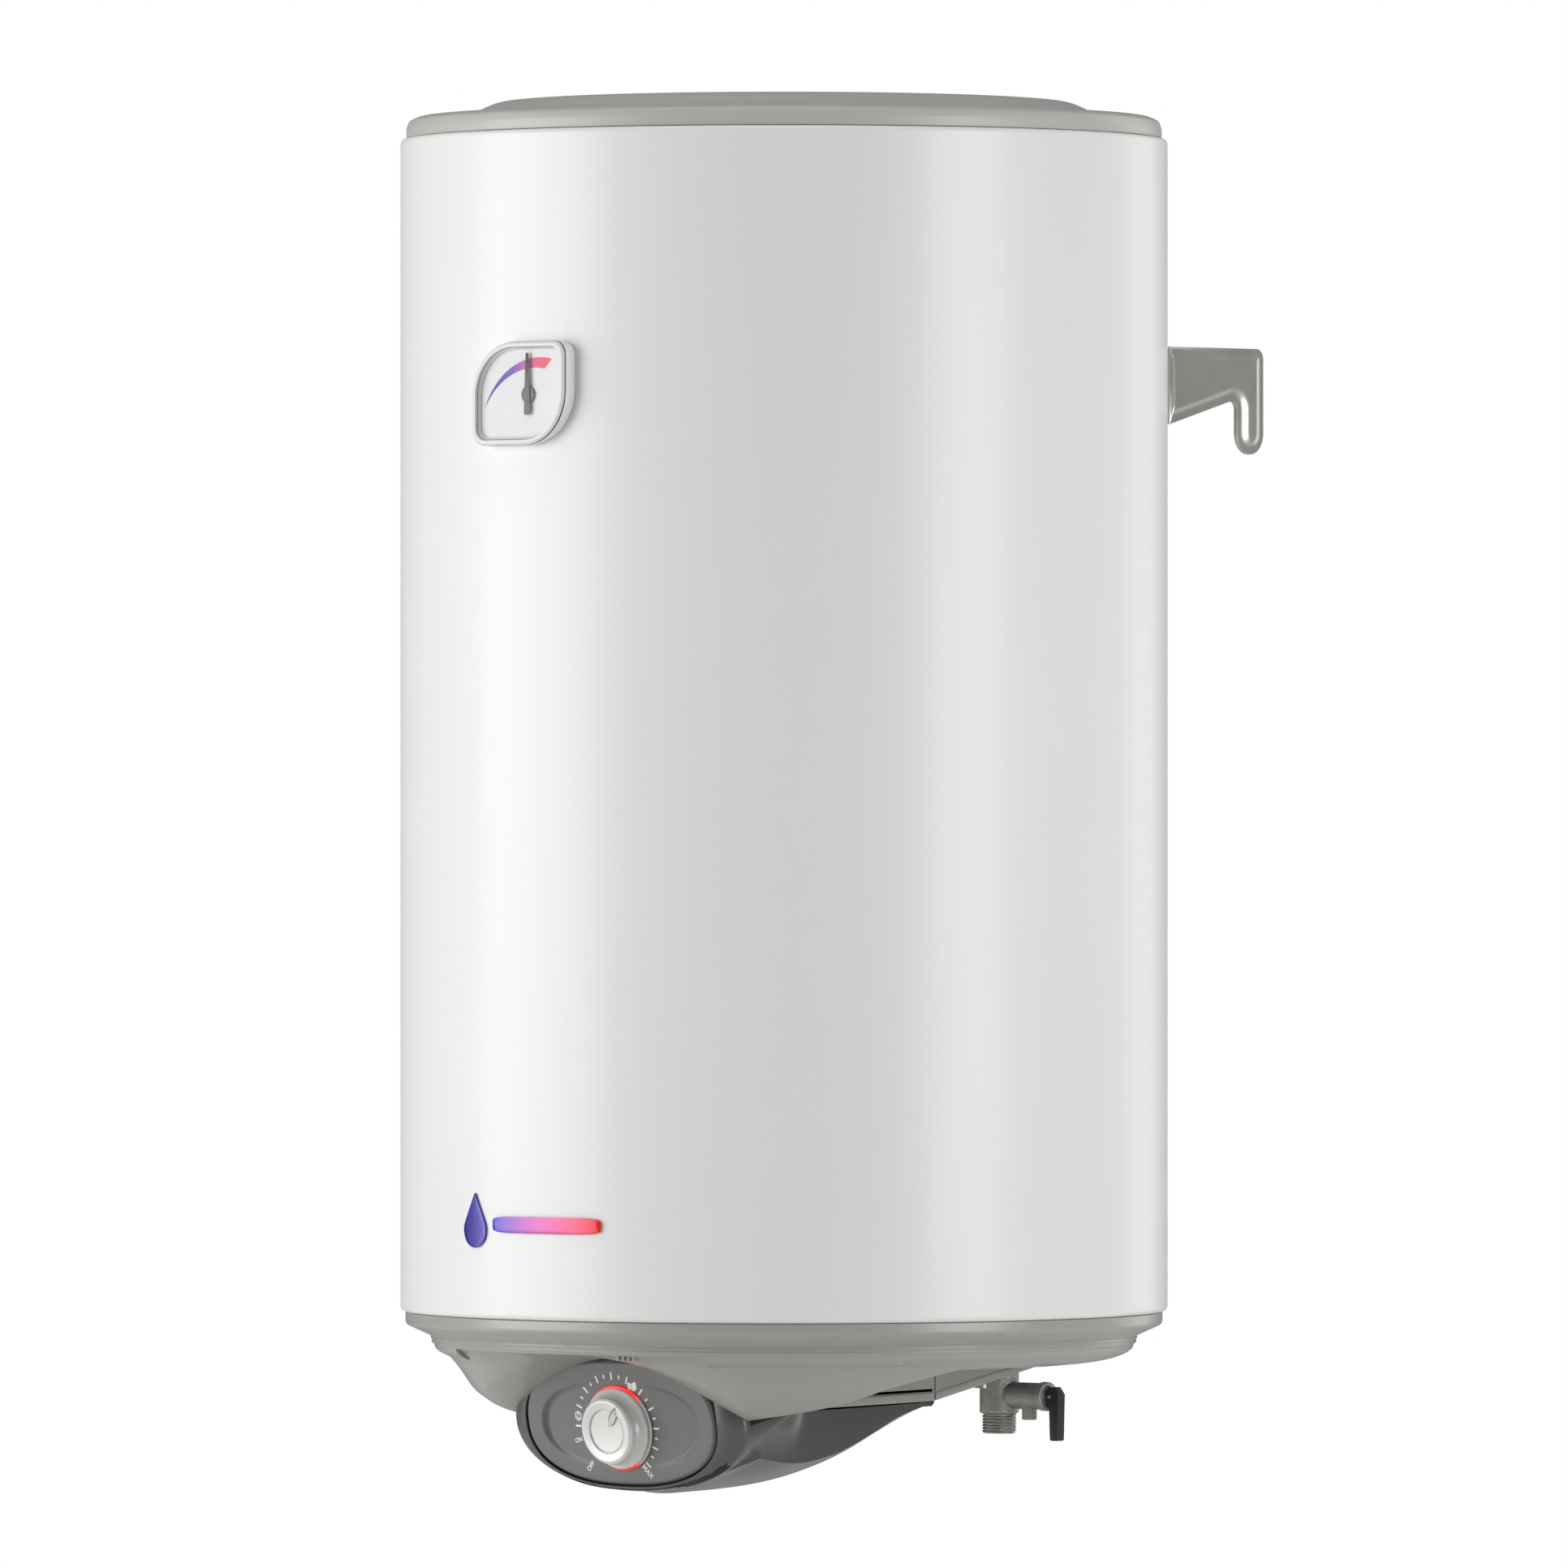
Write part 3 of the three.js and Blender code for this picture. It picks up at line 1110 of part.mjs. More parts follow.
place('cable_gland', gland.translate([0, GLAND_Y, 0]), BLACK);
for (const [name, x] of [['left', -SCREW_X], ['right', SCREW_X]]) {
  const under = islandBottom(SCREW_Y - SCREW_HEAD_R - 0.5) - GAP;
  const screw = rod(SCREW_HEAD_R, under - 2.4, under, 12)
    .add(rod(SCREW_HOLE_R - 0.4, under - 1, BELLY_Z + 8, 10));
  place(`cover_screw_${name}`, screw.translate([x, SCREW_Y, 0]), STEEL);
}

const strapSweep = [-STRAP_HALF_ANGLE, STRAP_HALF_ANGLE];
const strap = backBand(STRAP_R, STRAP_R + SHEET, ...strapSweep, -STRAP_HALF_H, STRAP_HALF_H, 28);
place('hanger_strap', strap.subtract(hangerHoles), ZINC);
place('hook_arm_left', hookArm(-1), ZINC);
place('hook_arm_right', hookArm(1), ZINC);
place('hanger_bolt_left', hangerBolt(-HANGER_ANGLE), STEEL);
place('hanger_bolt_right', hangerBolt(HANGER_ANGLE), STEEL);

place('valve_body', valveBody(), NICKEL, valve);
const bonnet = tube(BRANCH_BORE - 0.2, STEM_R + 0.4, BRANCH_END - 6, BRANCH_END - 0.6, 20);
place('valve_bonnet', acrossX(bonnet), NICKEL, valve);
place('valve_spring', valveSpring(), STEEL, valve);
place('valve_stem', valveStem(), STEEL, valve);
place('valve_lever', valveLever(), BLACK, valve);
const pin = rod(1.2, -LEVER_HALF_Y - 0.3, LEVER_HALF_Y + 0.3, 10).rotate([90, 0, 0]);
place('lever_pin', pin.translate([LEVER_PIN_AT, 0, -VALVE_AXIS]), STEEL, valve);
const poppetLow = -POPPET_SEAT + GAP;
const poppet = rod(PIPE_BORE - 1.7, poppetLow, poppetLow + 2.2, 14)
  .add(rod(1.5, poppetLow - 7, poppetLow + 1, 10));
place('nonreturn_poppet', poppet, BLACK, valve);

export default group;
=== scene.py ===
import json
import math

import bmesh
import bpy
from mathutils import Matrix, Vector
from mathutils.geometry import delaunay_2d_cdt


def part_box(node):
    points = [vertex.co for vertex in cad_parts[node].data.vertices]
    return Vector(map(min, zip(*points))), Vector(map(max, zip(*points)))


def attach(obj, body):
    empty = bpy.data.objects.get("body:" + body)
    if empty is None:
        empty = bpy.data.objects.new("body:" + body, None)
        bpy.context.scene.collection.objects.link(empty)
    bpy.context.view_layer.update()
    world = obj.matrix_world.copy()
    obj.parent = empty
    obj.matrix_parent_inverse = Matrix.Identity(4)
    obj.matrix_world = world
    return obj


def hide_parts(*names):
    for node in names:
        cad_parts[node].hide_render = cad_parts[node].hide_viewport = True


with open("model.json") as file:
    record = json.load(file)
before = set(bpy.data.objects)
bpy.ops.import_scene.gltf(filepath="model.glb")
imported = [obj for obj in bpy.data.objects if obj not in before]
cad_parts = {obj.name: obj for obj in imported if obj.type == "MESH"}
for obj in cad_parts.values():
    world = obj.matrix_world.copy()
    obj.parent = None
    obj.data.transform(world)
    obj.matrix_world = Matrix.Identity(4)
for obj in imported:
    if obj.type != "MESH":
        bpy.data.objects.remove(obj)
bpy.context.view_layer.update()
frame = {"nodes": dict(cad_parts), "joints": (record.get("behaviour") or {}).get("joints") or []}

# ---------------------------------------------------------------- the heater's place
# Everything below is drawn in millimetres about the upright axis of the jacket and brought to the
# frame's metres by one matrix. The jacket's own box gives that axis, its radius and its two edges.
MM = 0.001
low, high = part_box("jacket")
JACKET_R = (high.x - low.x) / 2 / MM
TOP = high.z / MM
BASE = low.z / MM
HEATER = Matrix.Translation((0, (low.y + high.y) / 2, 0)) @ Matrix.Scale(MM, 4)
JOINTS = {joint["name"]: joint for joint in frame["joints"]}
GAP = 0.3


# ---------------------------------------------------------------- studio
# A white room with soft lights: one wide one on the left, a narrower one on the right, a faint one
# behind and one overhead. The camera stands level with the heater, nearly ten metres away.
CAMERA_ANGLE = math.radians(41.4)
CAMERA_AWAY = 9.7
CAMERA_HEIGHT = -0.2153
LENS = 371.3
FLOOR_Z = -1.0
FLOOR_HALF = 2.2
ROOM_GREY = 0.17


def round_heater(angle, away, height):
    """A point at an angle in degrees to the right of the camera, seen from above the heater."""
    turn = CAMERA_ANGLE + math.radians(angle)
    axis = HEATER.translation
    return Vector((axis.x + away * math.sin(turn), axis.y - away * math.cos(turn), height))


def soft_light(name, angle, away, height, wide, tall, power, aim=-0.2):
    light = bpy.data.lights.new(name, "AREA")
    light.shape = "RECTANGLE"
    light.size = wide
    light.size_y = tall
    light.energy = power
    lamp = bpy.data.objects.new(name, light)
    lamp.location = round_heater(angle, away, height)
    target = Vector((HEATER.translation.x, HEATER.translation.y, aim))
    lamp.rotation_euler = (target - lamp.location).to_track_quat("-Z", "Y").to_euler()
    bpy.context.collection.objects.link(lamp)


soft_light("key_light", angle=-77, away=2.6, height=-0.1, wide=2.1, tall=2.6, power=59)
soft_light("right_light", angle=54, away=2.6, height=0.0, wide=1.1, tall=2.4, power=34)
soft_light("edge_light", angle=132, away=2.4, height=0.0, wide=1.0, tall=2.4, power=9)
soft_light("top_light", angle=-20, away=0.6, height=2.4, wide=2.0, tall=2.0, power=18)

world = bpy.data.worlds.new("white_room")
bpy.context.scene.world = world
world.use_nodes = True
sky = world.node_tree.nodes["Background"]
seen = world.node_tree.nodes.new("ShaderNodeBackground")
either = world.node_tree.nodes.new("ShaderNodeMixShader")
ray = world.node_tree.nodes.new("ShaderNodeLightPath")
sky.inputs["Color"].default_value = (ROOM_GREY, ROOM_GREY, ROOM_GREY, 1)
seen.inputs["Color"].default_value = (1, 1, 1, 1)
world.node_tree.links.new(ray.outputs["Is Camera Ray"], either.inputs[0])
world.node_tree.links.new(sky.outputs[0], either.inputs[1])
world.node_tree.links.new(seen.outputs[0], either.inputs[2])
world.node_tree.links.new(either.outputs[0], world.node_tree.nodes["World Output"].inputs[0])
bpy.context.scene.view_settings.view_transform = "Standard"

camera = bpy.data.objects.new("camera", bpy.data.cameras.new("camera"))
camera.data.lens = LENS
camera.data.sensor_width = 36
camera.data.shift_y = -0.016
camera.data.clip_end = 50
camera.location = round_heater(0, CAMERA_AWAY, CAMERA_HEIGHT)
camera.rotation_euler = (math.radians(90), 0, CAMERA_ANGLE)
bpy.context.collection.objects.link(camera)
bpy.context.scene.camera = camera


# ---------------------------------------------------------------- jacket
# One sheet of white stove enamel rolled into a tube, closed by a pressed lock seam down its back.
# Its two edges are rolled in, and the caps push into them.
ROLL = 3
TURN_IN = 6
JACKET_WALL = 1.2
SEAM_HALF = 2.2
SEAM_DEEP = 0.7
JACKET_MOUTH = JACKET_R - TURN_IN


def shade(code, alpha=1.0):
    """A colour code such as b0b1ac as linear light."""
    parts = [int(code[i:i + 2], 16) / 255 for i in (0, 2, 4)]
    return (*[p / 12.92 if p <= 0.04045 else ((p + 0.055) / 1.055) ** 2.4 for p in parts], alpha)


def finish_of(name, code, roughness, metal=0.0, coat=0.0, grain=1800, depth=0.0002,
              drift=0.03, drift_size=14, blur=0.05):
    """A finish whose colour and gloss drift a little over the piece, with a fine grain on top."""
    made = bpy.data.materials.new(name)
    made.use_nodes = True
    tree = made.node_tree
    shader = tree.nodes["Principled BSDF"]

    def set_up(node, **values):
        for key, value in values.items():
            node.inputs[key.replace("_", " ")].default_value = value
        return node

    set_up(shader, Metallic=metal, Coat_Weight=coat, Coat_Roughness=0.2)
    place = tree.nodes.new("ShaderNodeTexCoord")
    cloud = set_up(tree.nodes.new("ShaderNodeTexNoise"), Scale=drift_size, Detail=3)
    tone = tree.nodes.new("ShaderNodeMix")
    tone.data_type = "RGBA"
    colour = shade(code)
    tone.inputs["A"].default_value = (*[c * (1 - drift) for c in colour[:3]], 1)
    tone.inputs["B"].default_value = (*[min(c * (1 + drift), 1) for c in colour[:3]], 1)
    gloss = tree.nodes.new("ShaderNodeMapRange")
    set_up(gloss, To_Min=max(roughness - blur, 0.02), To_Max=roughness + blur)
    fine = set_up(tree.nodes.new("ShaderNodeTexNoise"), Scale=grain, Detail=2)
    bump = set_up(tree.nodes.new("ShaderNodeBump"), Strength=0.5, Distance=depth)
    join = tree.links.new
    join(place.outputs["Object"], cloud.inputs["Vector"])
    join(place.outputs["Object"], fine.inputs["Vector"])
    join(cloud.outputs["Fac"], tone.inputs["Factor"])
    join(tone.outputs["Result"], shader.inputs["Base Color"])
    join(cloud.outputs["Fac"], gloss.inputs["Value"])
    join(gloss.outputs["Result"], shader.inputs["Roughness"])
    join(fine.outputs["Fac"], bump.inputs["Height"])
    join(bump.outputs["Normal"], shader.inputs["Normal"])
    return made


def shaped(name, points, faces, place=HEATER, sharp=32):
    """A mesh piece from points in millimetres, its faces turned outwards and its soft edges smooth."""
    mesh = bpy.data.meshes.new(name)
    mesh.from_pydata(points, [], faces)
    mesh.transform(place)
    work = bmesh.new()
    work.from_mesh(mesh)
    bmesh.ops.remove_doubles(work, verts=work.verts, dist=1e-7)
    bmesh.ops.recalc_face_normals(work, faces=work.faces)
    work.to_mesh(mesh)
    work.free()
    mesh.shade_smooth()
    mesh.set_sharp_from_angle(angle=math.radians(sharp))
    piece = bpy.data.objects.new(name, mesh)
    bpy.context.collection.objects.link(piece)
    return piece


def fit(piece, material, slot, *nodes, body="heater"):
    """Gives a piece its finish, the body that it rides on and the CAD nodes that it stands for."""
    if not piece.data.materials:
        piece.data.materials.append(material)
    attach(piece, body)
    if nodes:
        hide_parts(*nodes)
    return piece


def rounded(corners, closed=False, steps=6):
    """A line through corners (a, b) or (a, b, radius), with each corner that has a radius rounded off."""
    line = []
    count = len(corners)
    for i, corner in enumerate(corners):
        here = Vector(corner[:2])
        ends = not closed and i in (0, count - 1)
        if len(corner) < 3 or ends:
            line.append(tuple(here))
            continue
        before = (Vector(corners[i - 1][:2]) - here).normalized()
        after = (Vector(corners[(i + 1) % count][:2]) - here).normalized()
        half = math.acos(max(-1, min(1, before.dot(after)))) / 2
        reach = corner[2] / math.tan(half)
        centre = here + (before + after).normalized() * corner[2] / math.sin(half)
        start = here + before * reach - centre
        stop = here + after * reach - centre
        turn = start.angle_signed(stop)
        for k in range(steps + 1):
            spun = start.copy()
            spun.rotate(Matrix.Rotation(-turn * k / steps, 2))
            line.append(tuple(centre + spun))
    return line


def turned(name, profile, place=HEATER, sides=160, sharp=32, dent=None):
    """A turned piece about Z from a profile of (radius, height) that closes on itself or on the axis."""
    points = []
    faces = []
    loop = list(profile)
    on_axis = loop[0][0] < 1e-6 and loop[-1][0] < 1e-6
    for r, z in loop:
        for i in range(sides):
            turn = 2 * math.pi * i / sides
            near = r - (dent(turn) if dent else 0)
            points.append((near * math.sin(turn), -near * math.cos(turn), z))
    rows = len(loop) - 1 if on_axis else len(loop)
    for row in range(rows):
        for i in range(sides):
            a = row * sides + i
            b = row * sides + (i + 1) % sides
            c = (row + 1) % len(loop) * sides + (i + 1) % sides
            d = (row + 1) % len(loop) * sides + i
            faces.append((a, b, c, d))
    return shaped(name, points, faces, place, sharp)


def back_seam(turn):
    """How far the seam's two grooves are pressed in, at an angle round from the front."""
    off = abs((turn - math.pi) * JACKET_R)
    return SEAM_DEEP if SEAM_HALF < off < SEAM_HALF * 2 else 0


jacket = turned("jacket_sheet", rounded([
    (JACKET_MOUTH, BASE),
    (JACKET_R, BASE, ROLL),
    (JACKET_R, TOP, ROLL),
    (JACKET_MOUTH, TOP),
    (JACKET_MOUTH, TOP - JACKET_WALL),
    (JACKET_R - JACKET_WALL, TOP - JACKET_WALL, ROLL - JACKET_WALL),
    (JACKET_R - JACKET_WALL, BASE + JACKET_WALL, ROLL - JACKET_WALL),
    (JACKET_MOUTH, BASE + JACKET_WALL),
], closed=True), sides=432, dent=back_seam)
white_enamel = finish_of("white stove enamel", "f2f2f1", 0.38, coat=0.25, grain=60, depth=0.0002,
                         drift=0.006, blur=0.02)
fit(jacket, white_enamel, "white_enamel", "jacket")


# ---------------------------------------------------------------- top cap
# A light grey moulded cap pushed into the jacket's top edge, with a rounded band, a flat shoulder
# and a raised centre.
CAP_INSET = 3.5
CAP_RISE = 13
CAP_WALL = 2.5
DOME_RISE = 22
DOME_R = 196
DOME_SLOPE = 28
SPIGOT = 8
SPIGOT_R = JACKET_MOUTH - 0.5


def eased(t):
    """Nought to one with a soft start and a soft end."""
    t = max(0.0, min(1.0, t))
    return t * t * (3 - 2 * t)


def dome_side(lift, steps=10):
    """The S-curved side of the raised centre, from its top edge down to the shoulder."""
    line = []
    for i in range(steps + 1):
        t = i / steps
        fall = (DOME_RISE - CAP_RISE) * eased(t)
        line.append((DOME_R - DOME_SLOPE * (1 - t), TOP + DOME_RISE - fall + lift))
    return line


band = JACKET_R - CAP_INSET
top_cap = turned("top_cap_moulding", [
    (0, TOP + DOME_RISE),
    *dome_side(0),
    *rounded([
        (DOME_R + 1, TOP + CAP_RISE),
        (band - 7, TOP + CAP_RISE, 3),
        (band - 1.6, TOP + CAP_RISE - 2.2, 4),
        (band, TOP + CAP_RISE - 7, 5),
        (band, TOP + GAP, 0.8),
        (SPIGOT_R, TOP + GAP),
        (SPIGOT_R, TOP - SPIGOT, 0.6),
        (SPIGOT_R - CAP_WALL, TOP - SPIGOT, 0.6),
        (SPIGOT_R - CAP_WALL, TOP + CAP_RISE - CAP_WALL, 2),
        (DOME_R, TOP + CAP_RISE - CAP_WALL),
    ]),
    *dome_side(-CAP_WALL)[::-1],
    (0, TOP + DOME_RISE - CAP_WALL),
], sides=288)
light_grey = finish_of("light grey cap plastic", "c0c1bc", 0.36, coat=0.15, drift=0.02)
fit(top_cap, light_grey, "light_grey", "top_cap")


# ---------------------------------------------------------------- bottom cap
# A mid grey moulded cap with a stepped rim, a slope down to a fine double lip and a shallow belly.
# The service opening under it is closed by the lower cover.
STEP_R = 227
LIP_R = 210
LIP_Z = BASE - 20
BELLY_R = 173
BELLY_Z = BASE - 30.5
FACE_Y = 146.6
POD_HALF_W = 91
ISLAND_HALF = 78
ISLAND_BACK = 172


def belly_side(lift, steps=12):
    """The belly's rounded side, from the lip down to its flat underside."""
    line = []
    for i in range(steps + 1):
        turn = math.pi / 2 * i / steps
        out = BELLY_R + (LIP_R - 0.3 - BELLY_R) * math.cos(turn) - lift
        line.append((out, LIP_Z - (LIP_Z - BELLY_Z) * math.sin(turn) + lift))
    return line


def box_corners(x0, x1, y0, y1, z0, z1):
    points = [(x, y, z) for x in (x0, x1) for y in (y0, y1) for z in (z0, z1)]
    faces = [(0, 1, 3, 2), (4, 6, 7, 5), (0, 4, 5, 1), (2, 3, 7, 6), (0, 2, 6, 4), (1, 5, 7, 3)]
    return points, faces


def settled(piece, sharp=None):
    """Turns a piece's modifiers into plain mesh, and smooths it between its sharp edges."""
    graph = bpy.context.evaluated_depsgraph_get()
    mesh = bpy.data.meshes.new_from_object(piece.evaluated_get(graph))
    piece.modifiers.clear()
    piece.data = mesh
    if sharp:
        mesh.shade_smooth()
        mesh.set_sharp_from_angle(angle=math.radians(sharp))
    return piece


def cut_away(piece, *tools, how="DIFFERENCE", sharp=32):
    """Cuts tools out of a piece, or joins them to it, and removes them."""
    for tool in tools:
        cut = piece.modifiers.new("cut", "BOOLEAN")
        cut.operation = how
        cut.solver = "EXACT"
        cut.object = tool
    settled(piece, sharp)
    for tool in tools:
        bpy.data.objects.remove(tool)
    return piece


rim = rounded([
    (SPIGOT_R, BASE + SPIGOT, 0.6),
    (SPIGOT_R, BASE - GAP),
    (STEP_R, BASE - GAP, 0.8),
    (STEP_R, BASE - 7.6, 3.4),
    (LIP_R + 1.2, BASE - 14.8, 0.9),
    (LIP_R + 2, BASE - 15.9, 0.5),
    (LIP_R + 0.9, BASE - 17.1, 0.5),
    (LIP_R + 1.6, BASE - 18.2, 0.6),
    (LIP_R - 0.3, LIP_Z),
])
bottom_cap = turned("bottom_cap_moulding", [
    *rim,
    *belly_side(0),
    (0, BELLY_Z),
    (0, BELLY_Z + CAP_WALL),
    *belly_side(CAP_WALL)[::-1],
    (LIP_R - CAP_WALL, BASE - 12.5),
    (SPIGOT_R - CAP_WALL, BASE - 7),
    (SPIGOT_R - CAP_WALL, BASE + SPIGOT),
    rim[0],
], sides=288)
way_in = shaped("way_in", *box_corners(-64, 64, -160, ISLAND_BACK - 14, BELLY_Z - 5, BASE - 2))
pod_room = shaped("pod_room", *box_corners(-96, 96, -216, -100, BELLY_Z - 5, LIP_Z - 0.4))
cut_away(bottom_cap, way_in, pod_room)
mid_grey = finish_of("mid grey cover plastic", "a9aaa5", 0.26, coat=0.3, drift=0.02)
fit(bottom_cap, mid_grey, "mid_grey", "bottom_cap")


# ---------------------------------------------------------------- lower cover
# A mid grey bowl whose edge starts as the control pod's outline, climbs its sides and dies away
# under the lip, with the service cover's straight strips running under it to the rear.
BOWL_Z = BASE - 60
BOWL_R = 164
BOWL_TOP_R = LIP_R - 1.6
BOWL_END = 86
BOWL_WALL = 2.5
POD_Z = BASE - 65
POD_HALF_H = 41
STRIP_Z = BASE - 54
SPLIT_Y = 48
STRIP_PROUD = 1.2
EDGE_LIFT = -1.0
BOWL_SHAPE = [(0, 0), (0.145, 0.146), (0.295, 0.268), (0.425, 0.353), (0.59, 0.452), (0.7, 0.537),
              (0.79, 0.646), (0.877, 0.76), (0.95, 0.89), (1, 1)]
TIP_ANGLE = math.degrees(math.atan2(POD_HALF_W, FACE_Y - 10))
EDGE_CLIMB = [(TIP_ANGLE, 0), (48, 0.19), (56, 0.375), (60, 0.5), (74, 0.81), (BOWL_END, 1)]


def along(curve, at):
    """The height of a smooth curve through (place, height) points in order of place."""
    if at <= curve[0][0]:
        return curve[0][1]
    if at >= curve[-1][0]:
        return curve[-1][1]
    i = next(k for k in range(len(curve) - 1) if at <= curve[k + 1][0])
    (x0, y0), (x1, y1) = curve[i], curve[i + 1]

    def lean(k):
        left = curve[max(k - 1, 0)]
        right = curve[min(k + 1, len(curve) - 1)]
        return (right[1] - left[1]) / (right[0] - left[0])

    span = x1 - x0
    t = (at - x0) / span
    return ((1 + 2 * t) * (1 - t) ** 2 * y0 + t * (1 - t) ** 2 * span * lean(i)
            + t * t * (3 - 2 * t) * y1 - t * t * (1 - t) * span * lean(i + 1))


def bowl_radius(z):
    return BOWL_TOP_R - (BOWL_TOP_R - BOWL_R) * along(BOWL_SHAPE, (LIP_Z - z) / (LIP_Z - BOWL_Z))


def bowl_edge(angle):
    """Radius and height of the bowl's lower edge, at an angle in degrees from the front."""
    size = abs(angle)
    if size >= TIP_ANGLE:
        z = BOWL_Z + (LIP_Z - 1 - BOWL_Z) * along(EDGE_CLIMB, size)
        return bowl_radius(z), z
    x = POD_HALF_W * math.sin(size / TIP_ANGLE * math.pi / 2)
    up = math.sqrt(max(1 - (x / POD_HALF_W) ** 2, 0))
    y = FACE_Y - 10 * (1 - up * 0.9)
    return math.hypot(x, y), BOWL_Z + up * (POD_Z + POD_HALF_H + EDGE_LIFT - BOWL_Z)


def skinned(loops, closed=True, capped=False):
    """Points and faces of equal loops joined one to the next."""
    count = len(loops[0])
    points = [point for loop in loops for point in loop]
    faces = []
    for row in range(len(loops) - 1):
        for i in range(count if closed else count - 1):
            a = row * count + i
            b = row * count + (i + 1) % count
            faces.append((a, b, b + count, a + count))
    if capped:
        faces.append(tuple(range(count))[::-1])
        faces.append(tuple(range(len(points) - count, len(points))))
    return points, faces


def bowl_wall(steps=180, rows=20):
    """The bowl's wall as one sheet from under the lip to its lower edge, open at the back."""
    loops = []
    for row in range(rows + 1):
        t = row / rows
        loop = []
        for i in range(steps + 1):
            angle = BOWL_END * (2 * i / steps - 1)
            edge_r, edge_z = bowl_edge(angle)
            z = LIP_Z + (edge_z - LIP_Z) * t
            front = BOWL_TOP_R + (edge_r - BOWL_TOP_R) * along(BOWL_SHAPE, t)
            r = bowl_radius(z) if abs(angle) >= TIP_ANGLE else front
            turn = math.radians(angle)
            loop.append((r * math.sin(turn), -r * math.cos(turn), z))
        loops.append(loop)
    return skinned(loops, closed=False)


def walled(piece, wall, edge=0.0, segments=2, sharp=32):
    """Gives a sheet its wall on the inner side and rounds its cut edges."""
    thick = piece.modifiers.new("wall", "SOLIDIFY")
    thick.thickness = wall
    thick.offset = -1
    thick.use_even_offset = True
    if edge:
        soft = piece.modifiers.new("edge", "BEVEL")
        soft.width = edge
        soft.segments = segments
        soft.limit_method = "ANGLE"
        soft.angle_limit = math.radians(50)
    return settled(piece, sharp)


def outward(piece, middle):
    """Turns an open sheet's faces away from a point given in millimetres about the axis."""
    centre = HEATER @ Vector(middle)
    lean = sum((face.center - centre).dot(face.normal) * face.area for face in piece.data.polygons)
    if lean < 0:
        piece.data.flip_normals()
    return piece


def joined(name, *parts):
    """Several pieces as one."""
    with bpy.context.temp_override(active_object=parts[0], selected_editable_objects=list(parts)):
        bpy.ops.object.join()
    parts[0].name = name
    return parts[0]


def strip_bottom(y):
    """Lower edge of the service cover seen from the side: nearly level, then rising to the rear."""
    level = STRIP_Z - 2.5 * (SPLIT_Y - y) / (SPLIT_Y + 140)
    rising = STRIP_Z + (BELLY_Z - STRIP_Z) * (y - SPLIT_Y) / (ISLAND_BACK - SPLIT_Y)
    return level if y < SPLIT_Y else rising


def service_cover():
    """The service cover: a straight-sided trough with rounded lower edges and a step out at each side."""
    loops = []
    inner = ISLAND_HALF - STRIP_PROUD
    for i in range(41):
        y = SPLIT_Y + 1.2 + (ISLAND_BACK - SPLIT_Y - 1.2) * i / 40
        low_z = strip_bottom(y)
        lip_z = low_z + 2.9 + min(2.6, (BELLY_Z - low_z) * 0.2)
        side = [(inner, max(BELLY_Z + 3, lip_z + 1)), (inner, lip_z, 0.4), (ISLAND_HALF, lip_z - 0.9, 0.5),
                (ISLAND_HALF, low_z, 1.6), (0, low_z)]
        line = rounded(side, steps=4)
        loops.append([(x, y, z) for x, z in line] + [(-x, y, z) for x, z in line[-2::-1]])
    return skinned(loops, closed=False)


def front_strips():
    """The cover's two side strips ahead of the split, over the dark shell."""
    made = []
    for side in (1, -1):
        loops = []
        for i in range(31):
            y = -60 + (SPLIT_Y - 0.6 + 60) * i / 30
            low_z = strip_bottom(y)
            outer = ISLAND_HALF + 0.2
            line = rounded([(ISLAND_HALF - 3, low_z + 7.5), (ISLAND_HALF - STRIP_PROUD, low_z + 7.5),
                            (ISLAND_HALF - STRIP_PROUD, low_z + 5.6, 0.4), (outer, low_z + 4.8, 0.5),
                            (outer, low_z + 0.2, 0.5), (ISLAND_HALF - 3, low_z + 0.2)], steps=4)
            loops.append([(side * x, y, z) for x, z in line])
        made.append(shaped(f"strip_{side}", *skinned(loops, capped=True)))
    return made


def strip_walls():
    """The upright walls between the strips and the belly, ahead of the split."""
    made = []
    for side in (1, -1):
        x0, x1 = sorted((side * (ISLAND_HALF - STRIP_PROUD - 2), side * (ISLAND_HALF - STRIP_PROUD)))
        made.append(shaped(f"wall_{side}", *box_corners(x0, x1, -75, SPLIT_Y + 2, STRIP_Z + 2, BELLY_Z + 1)))
    return made


bowl = outward(shaped("bowl", *bowl_wall()), (0, 0, LIP_Z))
walled(bowl, BOWL_WALL * MM, edge=0.5 * MM)
cover = outward(shaped("service_cover", *service_cover()), (0, 90, BELLY_Z))
walled(cover, BOWL_WALL * MM, edge=0.4 * MM)
lower_cover = joined("lower_cover_moulding", bowl, cover, *front_strips(), *strip_walls())
fit(lower_cover, mid_grey, "mid_grey", "lower_cover")


